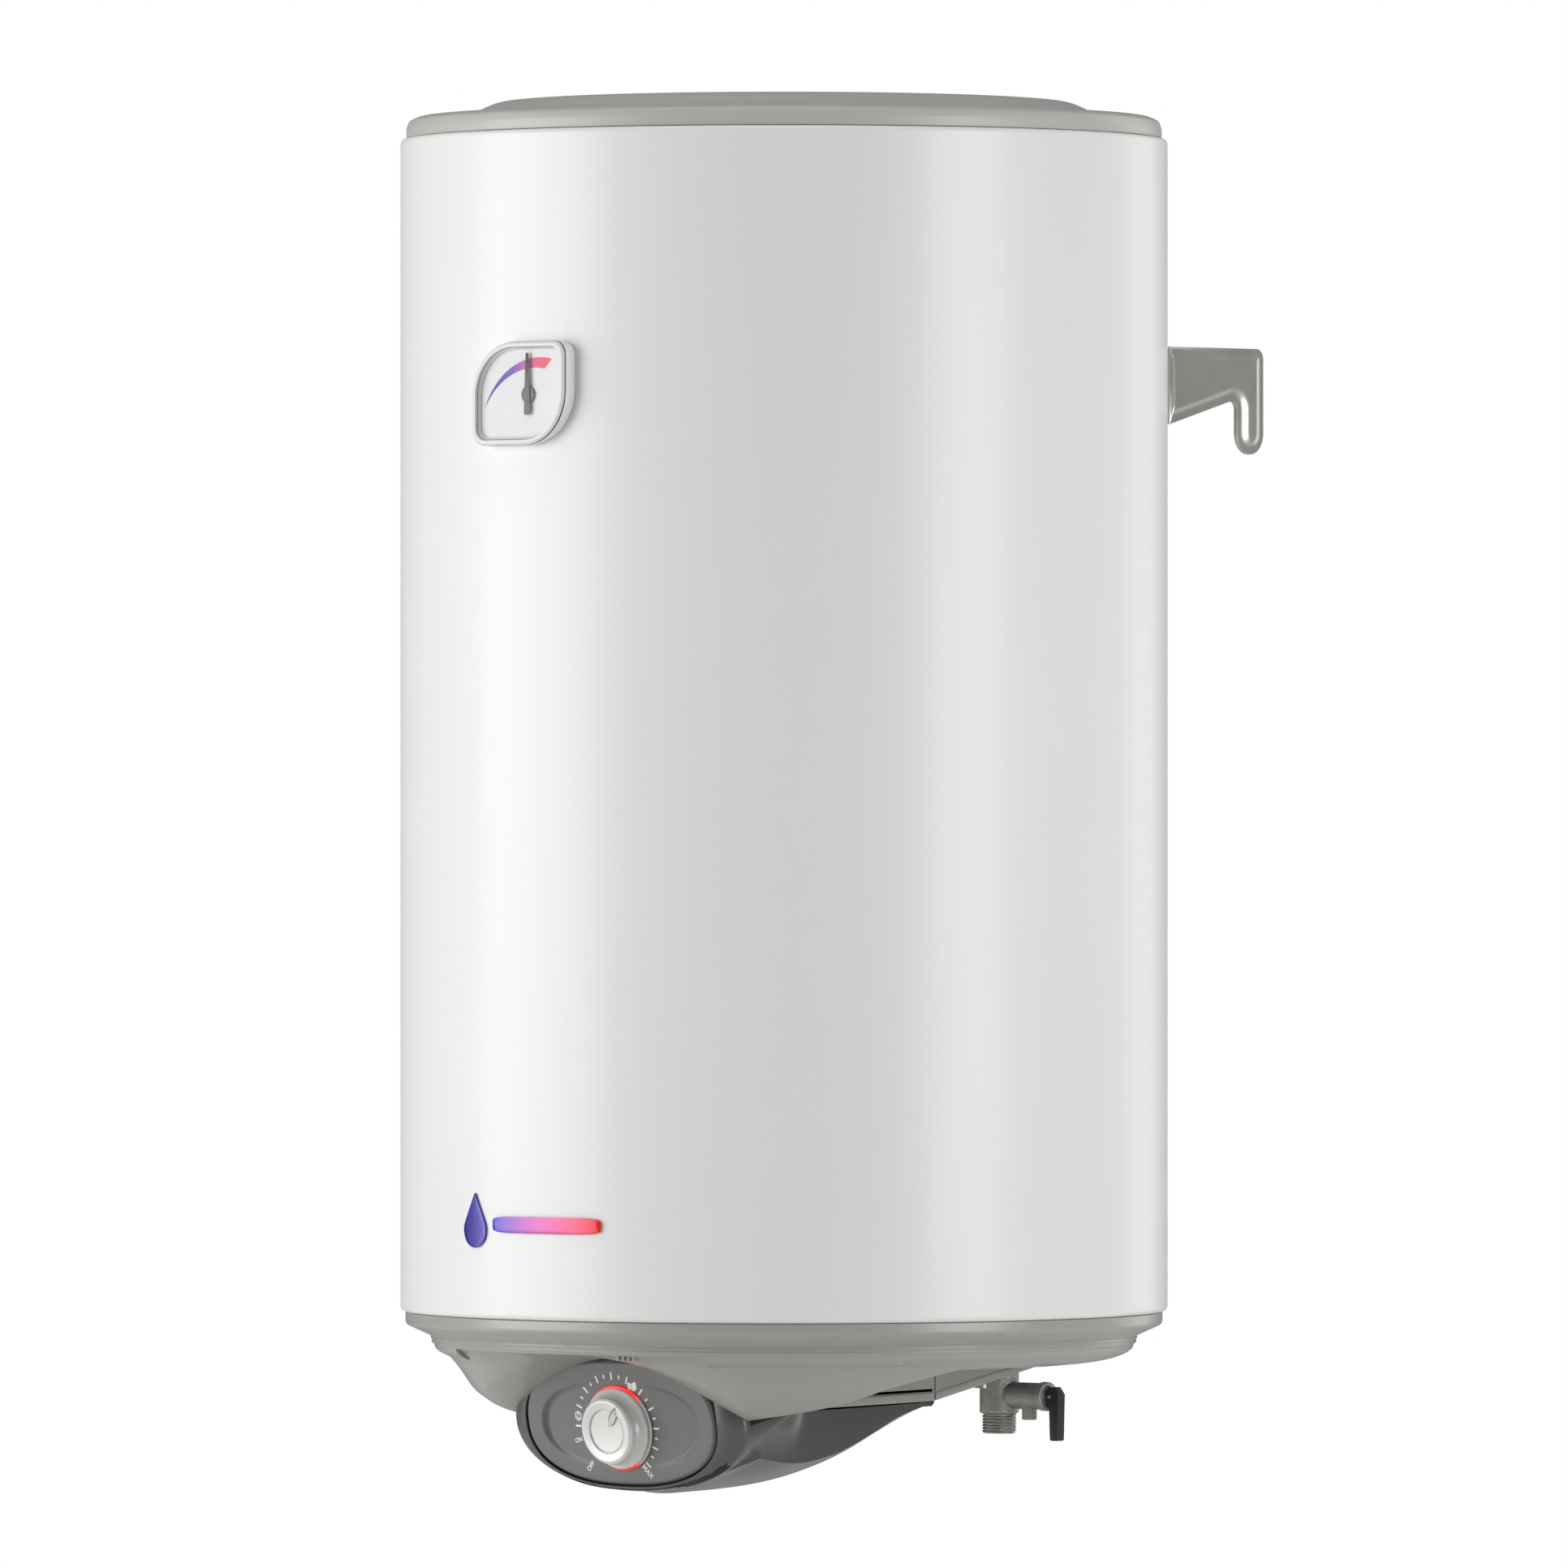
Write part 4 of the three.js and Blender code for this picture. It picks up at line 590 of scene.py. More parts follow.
# ---------------------------------------------------------------- control pod
# The dark grey shell that holds the controls: an oval rim round the fascia, flared sides that run
# back under the bowl and a keel that rises to the service cover. One injection moulding.
FASCIA_HALF_W = 74.6
FASCIA_HALF_H = 37.4
FASCIA_LIFT = 2.8
FASCIA_POWER = 2.4
POCKET_LIFT = FASCIA_LIFT + 0.6
POD_RIM = 8.5
POD_WALL = 2.6
KEEL_Z = BASE - 106.5
CHINE = [(-134, POD_Z - 12), (-105, POD_Z - 19), (-75, POD_Z - 22), (-44, POD_Z - 18), (-24, POD_Z - 12),
         (-3, POD_Z - 4.5), (14, POD_Z + 2.5), (SPLIT_Y, STRIP_Z - 0.5)]
KEEL = [(-132, KEEL_Z), (-63, KEEL_Z + 2.3), (-23, KEEL_Z + 7), (10, KEEL_Z + 15), (30, STRIP_Z - 25),
        (SPLIT_Y, STRIP_Z - 3)]
FLARE = [(-132, POD_HALF_W + 1), (-118, POD_HALF_W + 21), (-104, POD_HALF_W + 13), (-88, POD_HALF_W - 3),
         (-70, ISLAND_HALF), (SPLIT_Y, ISLAND_HALF)]
CHINE_HALF = [(-134, POD_HALF_W - 5), (-118, POD_HALF_W - 10), (-75, ISLAND_HALF), (SPLIT_Y, ISLAND_HALF)]
TOP_EDGE = [(-132, BOWL_Z + 1), (-118, BOWL_Z + 7), (-95, BOWL_Z + 5.5), (-60, STRIP_Z - 2.3),
            (SPLIT_Y, STRIP_Z - GAP)]
POD_STEPS = 128

knob_at = Vector(JOINTS["knob_turn"]["pos_m"])
knob_out = Vector(JOINTS["knob_turn"]["axis"])
TILT = math.atan2(-knob_out.z, -knob_out.y)
FACE = Matrix.Translation(knob_at) @ Matrix.Rotation(math.pi / 2 + TILT, 4, "X") @ Matrix.Scale(MM, 4)
HEATER_FROM_FACE = HEATER.inverted() @ FACE
POD_CENTRE = POD_Z - HEATER_FROM_FACE.translation.z


def super_ellipse(half_w, half_h, power, count, centre=0.0):
    line = []
    for i in range(count):
        turn = 2 * math.pi * i / count
        c, s = math.cos(turn), math.sin(turn)
        line.append((half_w * math.copysign(abs(c) ** (2 / power), c),
                     centre + half_h * math.copysign(abs(s) ** (2 / power), s)))
    return line


def pod_front(half_w, half_h, behind, power, centre=POD_CENTRE):
    """An oval on the tilted face, some way behind it; the way may differ round the oval."""
    loop = []
    for x, up in super_ellipse(half_w, half_h, power, POD_STEPS, centre):
        deep = behind(x / half_w, (up - centre) / half_h) if callable(behind) else behind
        loop.append(tuple(HEATER_FROM_FACE @ Vector((x, up, -deep))))
    return loop


def pod_section(y):
    """The shell's section across the heater: a flat top, hollow sides down to the chine, a round keel."""
    top, chine, keel = along(TOP_EDGE, y), along(CHINE, y), along(KEEL, y)
    flare, half = along(FLARE, y), along(CHINE_HALF, y)
    quarter = POD_STEPS // 4
    loop = []
    for i in range(POD_STEPS):
        turn, step = divmod(i, quarter)
        t = step / quarter
        from_side = t if turn % 2 == 0 else 1 - t
        side = 1 if turn in (0, 3) else -1
        if turn < 2:
            loop.append((side * flare * (1 - from_side), y, top))
        elif from_side < 0.5:
            k = from_side / 0.5
            loop.append((side * (flare + (half - flare) * (1 - (1 - k) ** 2)), y, top + (chine - top) * k))
        else:
            k = (from_side - 0.5) / 0.5
            loop.append((side * half * (1 - k), y, chine + (keel - chine) * math.sin(k * math.pi / 2)))
    return loop


def hood(x, up):
    """How far the rim's inner edge lies behind the face: nearly flush, and set back under the hood."""
    return 0.7 + 5.6 * eased(up * 1.1)


def pod_loops():
    """The pocket's floor and wall, the rim round it, the pod's outline and the shell running back."""
    pocket = (FASCIA_HALF_W + 1.3, FASCIA_HALF_H + 1.7)
    loops = [
        pod_front(FASCIA_HALF_W - 8, FASCIA_HALF_H - 8, 10, FASCIA_POWER, FASCIA_LIFT),
        pod_front(*pocket, 10, FASCIA_POWER, POCKET_LIFT),
        pod_front(*pocket, 9.4, FASCIA_POWER, POCKET_LIFT),
        pod_front(*pocket, lambda x, up: hood(x, up) + 0.5, FASCIA_POWER, POCKET_LIFT),
        pod_front(pocket[0] + 0.4, pocket[1] + 0.3, hood, FASCIA_POWER, POCKET_LIFT),
    ]
    for i in range(1, 9):
        t = i / 8
        half_w = FASCIA_HALF_W + 1.7 + (POD_HALF_W - FASCIA_HALF_W - 1.7) * t
        half_h = FASCIA_HALF_H + 2 + (POD_HALF_H - FASCIA_HALF_H - 2) * t
        centre = FASCIA_LIFT + 0.6 + (POD_CENTRE - FASCIA_LIFT - 0.6) * t
        fall = lambda x, up, t=t: hood(x, up) + (POD_RIM - hood(x, up)) * (0.35 * t + 0.65 * t ** 3)
        loops.append(pod_front(half_w, half_h, fall, 2.4 - 0.3 * t, centre))
    loops.append(pod_front(POD_HALF_W + 0.4, POD_HALF_H - 0.2, POD_RIM + 2, 2.1))
    loops.append(pod_front(POD_HALF_W + 0.5, POD_HALF_H - 0.5, POD_RIM + 5, 2.1))
    for i in range(41):
        t = i / 40
        loops.append(pod_section(-112 + (SPLIT_Y + 112) * t))
    return loops


pod = shaped("control_pod_shell", *skinned(pod_loops()), sharp=28)
walled(pod, POD_WALL * MM)
dark_shell = finish_of("dark grey pod plastic", "585857", 0.26, coat=0.3, drift=0.03)
# Painted shadow: a near-black finish that stands in for the shade in the gap round the fascia and under the
# hood.
shadow_black = finish_of("painted shadow black", "141414", 0.6)
pod.data.materials.append(dark_shell)
pod.data.materials.append(shadow_black)
face_from_world = FACE.inverted()
# Painted shadow: the pocket's walls and floor round the fascia, and the rim under the hood, take the
# near-black finish because they lie in shade.
for polygon in pod.data.polygons:
    x, up, out = face_from_world @ polygon.center
    inside = abs(x) < FASCIA_HALF_W + 1.5 and abs(up - FASCIA_LIFT - 0.6) < FASCIA_HALF_H + 1.9
    if inside and out > -10.5 and abs(polygon.normal.dot(knob_out)) < 0.6:
        polygon.material_index = 1
    if inside and -11 < out < -9:
        polygon.material_index = 1
    if abs(x) < FASCIA_HALF_W and up > FASCIA_LIFT + FASCIA_HALF_H * 0.7 and out < -0.4:
        polygon.material_index = 1
fit(pod, dark_shell, "dark_shell", "control_pod")


# ---------------------------------------------------------------- fascia
# A fine-grained grey plate dropped into the pod's pocket. Its face bows gently behind the knob, so
# that an oval recess shows only as a crescent for the fingers at each end.
FASCIA_THICK = 4
RECESS_HALF_W = 63
RECESS_HALF_H = 27
RECESS_DEPTH = 3.2
RECESS_WALL = 4.2
RECESS_POWER = 2.3
FACE_FLAT = 0.3
FACE_BOW = (RECESS_DEPTH + FACE_FLAT) / RECESS_HALF_W ** 2
SHAFT_HOLE = 5
FASCIA_SIDES = 144


def face_height(x, y):
    """Height of the fascia's face at a place on it."""
    up = y - FASCIA_LIFT / 2
    share = abs(x / RECESS_HALF_W) ** RECESS_POWER + abs(up / RECESS_HALF_H) ** RECESS_POWER
    share = share ** (1 / RECESS_POWER)
    if share >= 1 or share < 1e-6:
        return 0.0
    room = math.hypot(x, up) * (1 - share) / share
    return -max(0.0, FACE_BOW * x * x - FACE_FLAT) * eased(room / RECESS_WALL)


def fascia_loops():
    hole = super_ellipse(SHAFT_HOLE, SHAFT_HOLE, 2, FASCIA_SIDES)
    recess = super_ellipse(RECESS_HALF_W, RECESS_HALF_H, RECESS_POWER, FASCIA_SIDES, FASCIA_LIFT / 2)

    def edge(inset):
        half_w = FASCIA_HALF_W - inset
        half_h = FASCIA_HALF_H - inset
        return super_ellipse(half_w, half_h, FASCIA_POWER, FASCIA_SIDES, FASCIA_LIFT)

    def between(one, other, t):
        return [(a[0] + (b[0] - a[0]) * t, a[1] + (b[1] - a[1]) * t) for a, b in zip(one, other)]

    flats = [between(hole, recess, 1 - (1 - i / 36) ** 1.5) for i in range(37)]
    flats += [between(recess, edge(2.2), t) for t in (0.12, 0.5, 1)]
    loops = [[(x, y, face_height(x, y)) for x, y in flat] for flat in flats]
    for inset, drop in ((1.7, 0.06), (1.2, 0.3), (0.8, 0.75), (0.35, 1.25), (0, 1.7), (0, FASCIA_THICK)):
        loops.append([(x, y, -drop) for x, y in edge(inset)])
    loops.append([(x, y, -FASCIA_THICK) for x, y in hole])
    loops.append(loops[0])
    return loops


fascia = shaped("fascia_plate", *skinned(fascia_loops()), FACE, sharp=40)
fascia_grey = finish_of("fine grained fascia plastic", "717170", 0.42, grain=3200, depth=0.00012, drift=0.02)
fit(fascia, fascia_grey, "fascia_grey", "fascia")


# ---------------------------------------------------------------- printed scale
# White print round the knob: long and short ticks by turns, a leaf for the saving setting, a case
# for the holiday setting, and the plain words OFF, ON and MAX. A node tree lays the ticks.
TICK_RING = 31
TICK_STEP = 11.25
TICKS = 21
CASE_TICK = 1
LEAF_TICK = 11
INK = 0.12
SCALE_SHIFT = -3.0


def tree_with(name, *inputs):
    """An empty geometry tree with named inputs, and a short way to add and join its nodes."""
    tree = bpy.data.node_groups.new(name, "GeometryNodeTree")
    for label, kind in inputs:
        tree.interface.new_socket(label, in_out="INPUT", socket_type=f"NodeSocket{kind}")
    tree.interface.new_socket("Geometry", in_out="OUTPUT", socket_type="NodeSocketGeometry")
    given = tree.nodes.new("NodeGroupInput")

    def put(kind, links=None, **settings):
        node = tree.nodes.new(kind)
        for key, value in settings.items():
            setattr(node, key, value)
        for key, source in (links or {}).items():
            if isinstance(source, bpy.types.NodeSocket):
                tree.links.new(source, node.inputs[key])
            else:
                node.inputs[key].default_value = source
        return node

    def sum_of(how, a, b=0.0):
        return put("ShaderNodeMath", {0: a, 1: b}, operation=how).outputs[0]

    def end(shape, material):
        real = put("GeometryNodeRealizeInstances", {0: shape}).outputs[0]
        painted = put("GeometryNodeSetMaterial", {"Geometry": real, "Material": material}).outputs[0]
        put("NodeGroupOutput", {0: painted})

    return tree, given.outputs, put, sum_of, end


def plain_mesh(holder):
    """The plain mesh that an object comes out as. The object itself is taken away."""
    bpy.context.collection.objects.link(holder)
    graph = bpy.context.evaluated_depsgraph_get()
    mesh = bpy.data.meshes.new_from_object(holder.evaluated_get(graph))
    bpy.data.objects.remove(holder)
    return mesh


def grown(name, tree, place, **sizes):
    """Runs a tree with its sizes, in millimetres, and sets the plain mesh in its place."""
    holder = bpy.data.objects.new("holder", bpy.data.meshes.new("holder"))
    modifier = holder.modifiers.new("grow", "NODES")
    modifier.node_group = tree
    sockets = {item.name: item.identifier for item in tree.interface.items_tree if item.in_out == "INPUT"}
    for label, value in sizes.items():
        modifier[sockets[label]] = value
    mesh = plain_mesh(holder)
    mesh.transform(place)
    piece = bpy.data.objects.new(name, mesh)
    mesh.name = name
    bpy.context.collection.objects.link(piece)
    return piece


def tick_tree():
    """Bars on an arc, every second one short, sunk to follow the bowed face; two places stay empty."""
    tree, given, put, sum_of, end = tree_with(
        "tick ring", ("Count", "Int"), ("First", "Float"), ("Step", "Float"), ("Ring", "Float"),
        ("Long", "Float"), ("Short", "Float"), ("Width", "Float"), ("Ink", "Float"), ("Bow", "Float"),
        ("Flat", "Float"), ("Shift", "Float"), ("Case", "Int"), ("Leaf", "Int"), ("Material", "Material"))
    index = put("GeometryNodeInputIndex").outputs[0]
    angle = sum_of("SUBTRACT", given["First"], sum_of("MULTIPLY", index, given["Step"]))
    x = sum_of("MULTIPLY", given["Ring"], sum_of("COSINE", angle))
    y = sum_of("MULTIPLY", given["Ring"], sum_of("SINE", angle))
    place = put("ShaderNodeCombineXYZ", {0: sum_of("ADD", x, given["Shift"]), 1: y}).outputs[0]
    points = put("GeometryNodePoints", {"Count": given["Count"], "Position": place}).outputs[0]
    odd = sum_of("MODULO", index, 2.0)
    length = put("ShaderNodeMix", {0: odd, 2: given["Long"], 3: given["Short"]}).outputs[0]
    size = put("ShaderNodeCombineXYZ", {0: length, 1: given["Width"], 2: given["Ink"]}).outputs[0]
    turn = put("ShaderNodeCombineXYZ", {2: angle}).outputs[0]
    differs = dict(data_type="INT", operation="NOT_EQUAL")
    not_case = put("FunctionNodeCompare", {2: index, 3: given["Case"]}, **differs)
    not_leaf = put("FunctionNodeCompare", {2: index, 3: given["Leaf"]}, **differs)
    kept = put("FunctionNodeBooleanMath", {0: not_case.outputs[0], 1: not_leaf.outputs[0]}).outputs[0]
    block = put("GeometryNodeMeshCube", {"Size": (1, 1, 1)}).outputs[0]
    bars = put("GeometryNodeInstanceOnPoints", {
        "Points": points, "Selection": kept, "Instance": block, "Rotation": turn, "Scale": size}).outputs[0]
    real = put("GeometryNodeRealizeInstances", {0: bars}).outputs[0]
    across = put("ShaderNodeSeparateXYZ", {0: put("GeometryNodeInputPosition").outputs[0]}).outputs[0]
    bowed = sum_of("MULTIPLY", sum_of("MULTIPLY", across, across), given["Bow"])
    sunk = sum_of("MULTIPLY", sum_of("MAXIMUM", sum_of("SUBTRACT", bowed, given["Flat"]), 0.0), -1.0)
    offset = put("ShaderNodeCombineXYZ", {2: sunk}).outputs[0]
    laid = put("GeometryNodeSetPosition", {"Geometry": real, "Offset": offset}).outputs[0]
    end(laid, given["Material"])
    return tree


def filled(outline, spacing):
    """Points and triangles that fill an outline, with points inside it about a spacing apart."""
    left, right = min(p[0] for p in outline), max(p[0] for p in outline)
    low, high = min(p[1] for p in outline), max(p[1] for p in outline)
    inner = []
    for i in range(1, int((right - left) / spacing)):
        for k in range(1, int((high - low) / spacing)):
            spot = (left + i * spacing + (k % 2) * spacing / 2, low + k * spacing)
            if within(spot, outline) and edge_reach(spot, outline) > spacing * 0.4:
                inner.append(spot)
    made = delaunay_2d_cdt([Vector(p) for p in [*outline, *inner]], [], [list(range(len(outline)))], 1, 1e-5)
    return [tuple(p) for p in made[0]], [tuple(face) for face in made[2]]


def within(spot, outline):
    inside = False
    for (x0, y0), (x1, y1) in zip(outline, [*outline[1:], outline[0]]):
        if (y0 > spot[1]) != (y1 > spot[1]) and spot[0] < (x1 - x0) * (spot[1] - y0) / (y1 - y0) + x0:
            inside = not inside
    return inside


def edge_reach(spot, outline):
    """Distance from a spot to the nearest part of an outline."""
    nearest = math.inf
    for (x0, y0), (x1, y1) in zip(outline, [*outline[1:], outline[0]]):
        dx, dy = x1 - x0, y1 - y0
        t = ((spot[0] - x0) * dx + (spot[1] - y0) * dy) / max(dx * dx + dy * dy, 1e-12)
        t = max(0.0, min(1.0, t))
        nearest = min(nearest, math.hypot(spot[0] - x0 - t * dx, spot[1] - y0 - t * dy))
    return nearest


def laid_sheet(name, outline, spacing, spot, wall, place=HEATER, out=(0, 0, 0), edge=0.0, sharp=32):
    """An outline filled, laid on a surface by a rule for each spot, and given its wall inwards."""
    flat, faces = filled(outline, spacing)
    piece = shaped(name, [spot(a, b) for a, b in flat], faces, place, sharp)
    toward = place.to_3x3() @ Vector(out)
    if sum(face.normal.dot(toward) * face.area for face in piece.data.polygons) < 0:
        piece.data.flip_normals()
    return walled(piece, wall * MM, edge * MM, sharp=sharp)


def leaf_outline(length, half, steps=10):
    """A leaf from the origin along X: round at the stem and drawn to a point."""
    top = []
    for i in range(steps + 1):
        t = i / steps
        top.append((length * t, half * math.sin(math.pi * min(1, t ** 0.75))))
    return top + [(x, -y) for x, y in top[-2:0:-1]]


def printed(name, outline, x, y, turn):
    """A patch of print on the fascia, turned and set at a place on its face."""
    spin = Matrix.Rotation(math.radians(turn), 2)

    def spot(a, b):
        p = spin @ Vector((a, b))
        return (x + p.x, y + p.y, face_height(x + p.x, y + p.y) + INK / 2)

    return laid_sheet(name, outline, 1.2, spot, INK, FACE, (0, 0, 1))


def frame_of(half_w, half_h, line, corner):
    """Four bars that make an open rounded frame, as outlines."""
    in_w = half_w - line
    in_h = half_h - line
    return [
        rounded([(-half_w, half_h, corner), (half_w, half_h, corner), (half_w, in_h), (-half_w, in_h)],
                closed=True, steps=3),
        [(-half_w, -half_h), (half_w, -half_h), (half_w, -in_h), (-half_w, -in_h)],
        [(-half_w, -half_h), (-in_w, -half_h), (-in_w, in_h), (-half_w, in_h)],
        [(in_w, -half_h), (half_w, -half_h), (half_w, in_h), (in_w, in_h)],
    ]


def word(text, size, x, y, turn):
    """A word printed on the fascia, its middle at (x, y), read along a direction in degrees."""
    writing = bpy.data.curves.new(text, "FONT")
    writing.body = text
    writing.size = size
    writing.align_x = "CENTER"
    writing.align_y = "CENTER"
    writing.extrude = INK / 2
    writing.offset = size * 0.018
    mesh = plain_mesh(bpy.data.objects.new("holder", writing))
    bpy.data.curves.remove(writing)
    mesh.transform(Matrix.Translation((x, y, 0)) @ Matrix.Rotation(math.radians(turn), 4, "Z"))
    for vertex in mesh.vertices:
        vertex.co.z += face_height(vertex.co.x, vertex.co.y)
    mesh.transform(FACE)
    piece = bpy.data.objects.new(f"word_{text}", mesh)
    bpy.context.collection.objects.link(piece)
    return piece


def on_ring(angle, ring=TICK_RING):
    turn = math.radians(angle)
    return ring * math.cos(turn) + SCALE_SHIFT, ring * math.sin(turn)


white_print = finish_of("white print", "f4f4f2", 0.5, drift=0.01)
ticks = grown("printed_ticks", tick_tree(), FACE, Count=TICKS, First=math.pi, Step=math.radians(TICK_STEP),
              Ring=float(TICK_RING), Long=4.7, Short=2.3, Width=1.15, Ink=INK,
              Bow=FACE_BOW, Flat=FACE_FLAT, Shift=SCALE_SHIFT,
              Case=CASE_TICK, Leaf=LEAF_TICK, Material=white_print)
fit(ticks, white_print, "dial")

leaf_x, leaf_y = on_ring(180 - TICK_STEP * LEAF_TICK, TICK_RING - 0.6)
case_x, case_y = on_ring(180 - TICK_STEP * CASE_TICK)
marks = [
    printed("big_leaf", leaf_outline(6.4, 2.4), leaf_x - 1.2, leaf_y - 2.8, 62),
    printed("small_leaf", leaf_outline(5.2, 1.9), leaf_x - 1.7, leaf_y - 2.2, 118),
]
for i, bars in enumerate((frame_of(2.6, 1.9, 0.55, 0.5), frame_of(1.2, 2.9, 0.5, 0.4))):
    marks += [printed(f"case_{i}_{k}", bar, case_x, case_y, -12) for k, bar in enumerate(bars)]
marks += [
    word("ON", 3.9, *on_ring(195, 33.4), 15),
    word("OFF", 4.1, *on_ring(225, 34.2), 45),
    word("MAX", 4.5, *on_ring(-51.5, 33.5), -47),
]
symbols = joined("printed_marks", *marks)
symbols.data.materials.clear()
fit(symbols, white_print, "dial")


# ---------------------------------------------------------------- light ring
# A translucent ring under the knob that carries the light of two lamps behind the fascia: red above
# and below, and pale where neither lamp reaches.
RING_R = 25.6
RING_BORE = 19
RING_THICK = 1.4

ring = turned("light_guide", rounded([
    (RING_R, GAP, 0.2),
    (RING_R, GAP + RING_THICK, 0.7),
    (RING_BORE, GAP + RING_THICK, 0.3),
    (RING_BORE, GAP, 0.2),
], closed=True, steps=4), FACE, sides=128)


def ramp_node(tree, stops):
    """A node that turns nought to one into colours, from (place, colour code) in order of place."""
    tint = tree.nodes.new("ShaderNodeValToRGB")
    tint.color_ramp.elements[0].color = shade(stops[0][1])
    tint.color_ramp.elements[1].color = shade(stops[-1][1])
    for at, code in stops[1:-1]:
        tint.color_ramp.elements.new(at).color = shade(code)
    return tint


def lamp_glow(x, y):
    """How strongly the ring glows at a place: full at the top and a little left of the bottom."""
    angle = math.degrees(math.atan2(y, x))
    upper = eased((62 - abs(angle - 93)) / 26)
    lower = eased((40 - abs(angle + 88)) / 20)
    return max(upper, lower)


glow = ring.data.attributes.new("glow", "FLOAT", "POINT")
for i, vertex in enumerate(ring.data.vertices):
    spot = face_from_world @ vertex.co
    glow.data[i].value = lamp_glow(spot.x, spot.y)
red_light = finish_of("lit red light guide", "d8d2d0", 0.3, coat=0.3, grain=900)
guide = red_light.node_tree
reading = guide.nodes.new("ShaderNodeAttribute")
reading.attribute_name = "glow"
tint = ramp_node(guide, [(0, "dedad8"), (0.45, "f0808a"), (1, "ff1400")])
power = guide.nodes.new("ShaderNodeMath")
power.operation = "MULTIPLY"
power.inputs[1].default_value = 0.6
lit = guide.nodes["Principled BSDF"]
guide.links.new(reading.outputs["Fac"], tint.inputs["Fac"])
guide.links.new(tint.outputs["Color"], lit.inputs["Base Color"])
guide.links.new(tint.outputs["Color"], lit.inputs["Emission Color"])
guide.links.new(reading.outputs["Fac"], power.inputs[0])
guide.links.new(power.outputs[0], lit.inputs["Emission Strength"])
fit(ring, red_light, "red_light", "light_ring")


# ---------------------------------------------------------------- knob
# A pearl-lacquered knob pushed on the thermostat's shaft: a hollow-sided skirt, a raised rim and a
# dished disc, with a leaf let into its face that points at the scale.
KNOB_R = 24.3
KNOB_TOP_R = 19.8
KNOB_DISC_R = 12.8
KNOB_OUT = 13.7
KNOB_FLOAT = 2.2
SHAFT_R = 3
POINTER_AT = 56.25
POINTER_FROM = 4
POINTER_LENGTH = 14.2
POINTER_HALF = 2.7

knob = turned("knob_turning", [
    (0, KNOB_OUT - 2.1),
    (KNOB_DISC_R * 0.5, KNOB_OUT - 1.85),
    *rounded([
        (KNOB_DISC_R - 1.2, KNOB_OUT - 1.6),
        (KNOB_DISC_R - 0.3, KNOB_OUT - 1.5, 0.25),
        (KNOB_DISC_R, KNOB_OUT - 2.4, 0.2),
        (KNOB_DISC_R + 0.5, KNOB_OUT - 2.4, 0.2),
        (KNOB_DISC_R + 0.7, KNOB_OUT - 0.9, 0.4),
        (KNOB_TOP_R - 1.6, KNOB_OUT, 1.4),
        (KNOB_TOP_R, KNOB_OUT - 1.3, 1.1),
        (KNOB_TOP_R + 0.4, KNOB_OUT - 4.8, 5),
        (KNOB_TOP_R + 1.8, KNOB_FLOAT + 3.5, 5),
        (KNOB_R, KNOB_FLOAT + 1.6, 1.2),
        (KNOB_R, KNOB_FLOAT, 0.3),
        (KNOB_R - 2, KNOB_FLOAT, 0.3),
        (KNOB_TOP_R - 1.4, KNOB_OUT - 3.6, 1.5),
        (SHAFT_R + 3.6, KNOB_OUT - 3.6, 0.5),
        (SHAFT_R + 3.6, KNOB_FLOAT + 0.4, 0.3),
        (SHAFT_R + 0.05, KNOB_FLOAT + 0.4),
        (SHAFT_R + 0.05, KNOB_OUT - 3.9),
        (0, KNOB_OUT - 3.9),
    ], steps=5),
], FACE, sides=144)


def pointer_solid(name, grow, low, heights, steps=24):
    """The leaf as a solid: its floor, and its left edge, middle and right edge at three heights."""
    turn = Matrix.Rotation(math.radians(POINTER_AT), 3, "Z")
    left, middle, right = heights
    loops = []
    for i in range(steps + 1):
        t = i / steps
        x = POINTER_FROM - grow + (POINTER_LENGTH + 2 * grow) * t
        half = POINTER_HALF * math.sin(math.pi * min(1, t ** 0.8)) + grow * math.sin(math.pi * t) + 0.02
        section = [(x, half, low), (x, half, left), (x, 0, middle), (x, -half, right), (x, -half, low)]
        loops.append([tuple(turn @ Vector(p)) for p in section])
    return shaped(name, *skinned(loops, capped=True), FACE)


slot = pointer_solid("leaf_slot", 0.25, KNOB_OUT - 3, (KNOB_OUT + 4,) * 3)
cut_away(knob, slot)
pearl = finish_of("pearl lacquer", "e4e4e2", 0.27, metal=0.12, coat=0.5, grain=2600, depth=0.00006,
                  drift=0.015)
fit(knob, pearl, "pearl", "knob", body="knob")
pointer = pointer_solid("leaf_pointer", 0, KNOB_OUT - 2.9, (KNOB_OUT - 2.3, KNOB_OUT + 0.3, KNOB_OUT - 0.5))
fit(pointer, pearl, "pearl", "knob_pointer", body="knob")

# ---------------------------------------------------------------- temperature gauge
# A leaf-shaped bezel whose back follows the jacket, a printed dial, a needle on a dark hub and a thin
# clear lens snapped in front.
GAUGE_HALF_W = 36.7
GAUGE_HALF_H = 30.65
GAUGE_PROUD = 7.5
LENS_INSET = 3.7
DIAL_FACE = -4
PIVOT = (5.7, -0.8)
GAUGE = HEATER @ Matrix.Translation((0, -JACKET_R - GAUGE_PROUD, 0)) @ Matrix.Rotation(math.pi / 2, 4, "X")
ON_PIVOT = GAUGE @ Matrix.Translation((*PIVOT, 0))


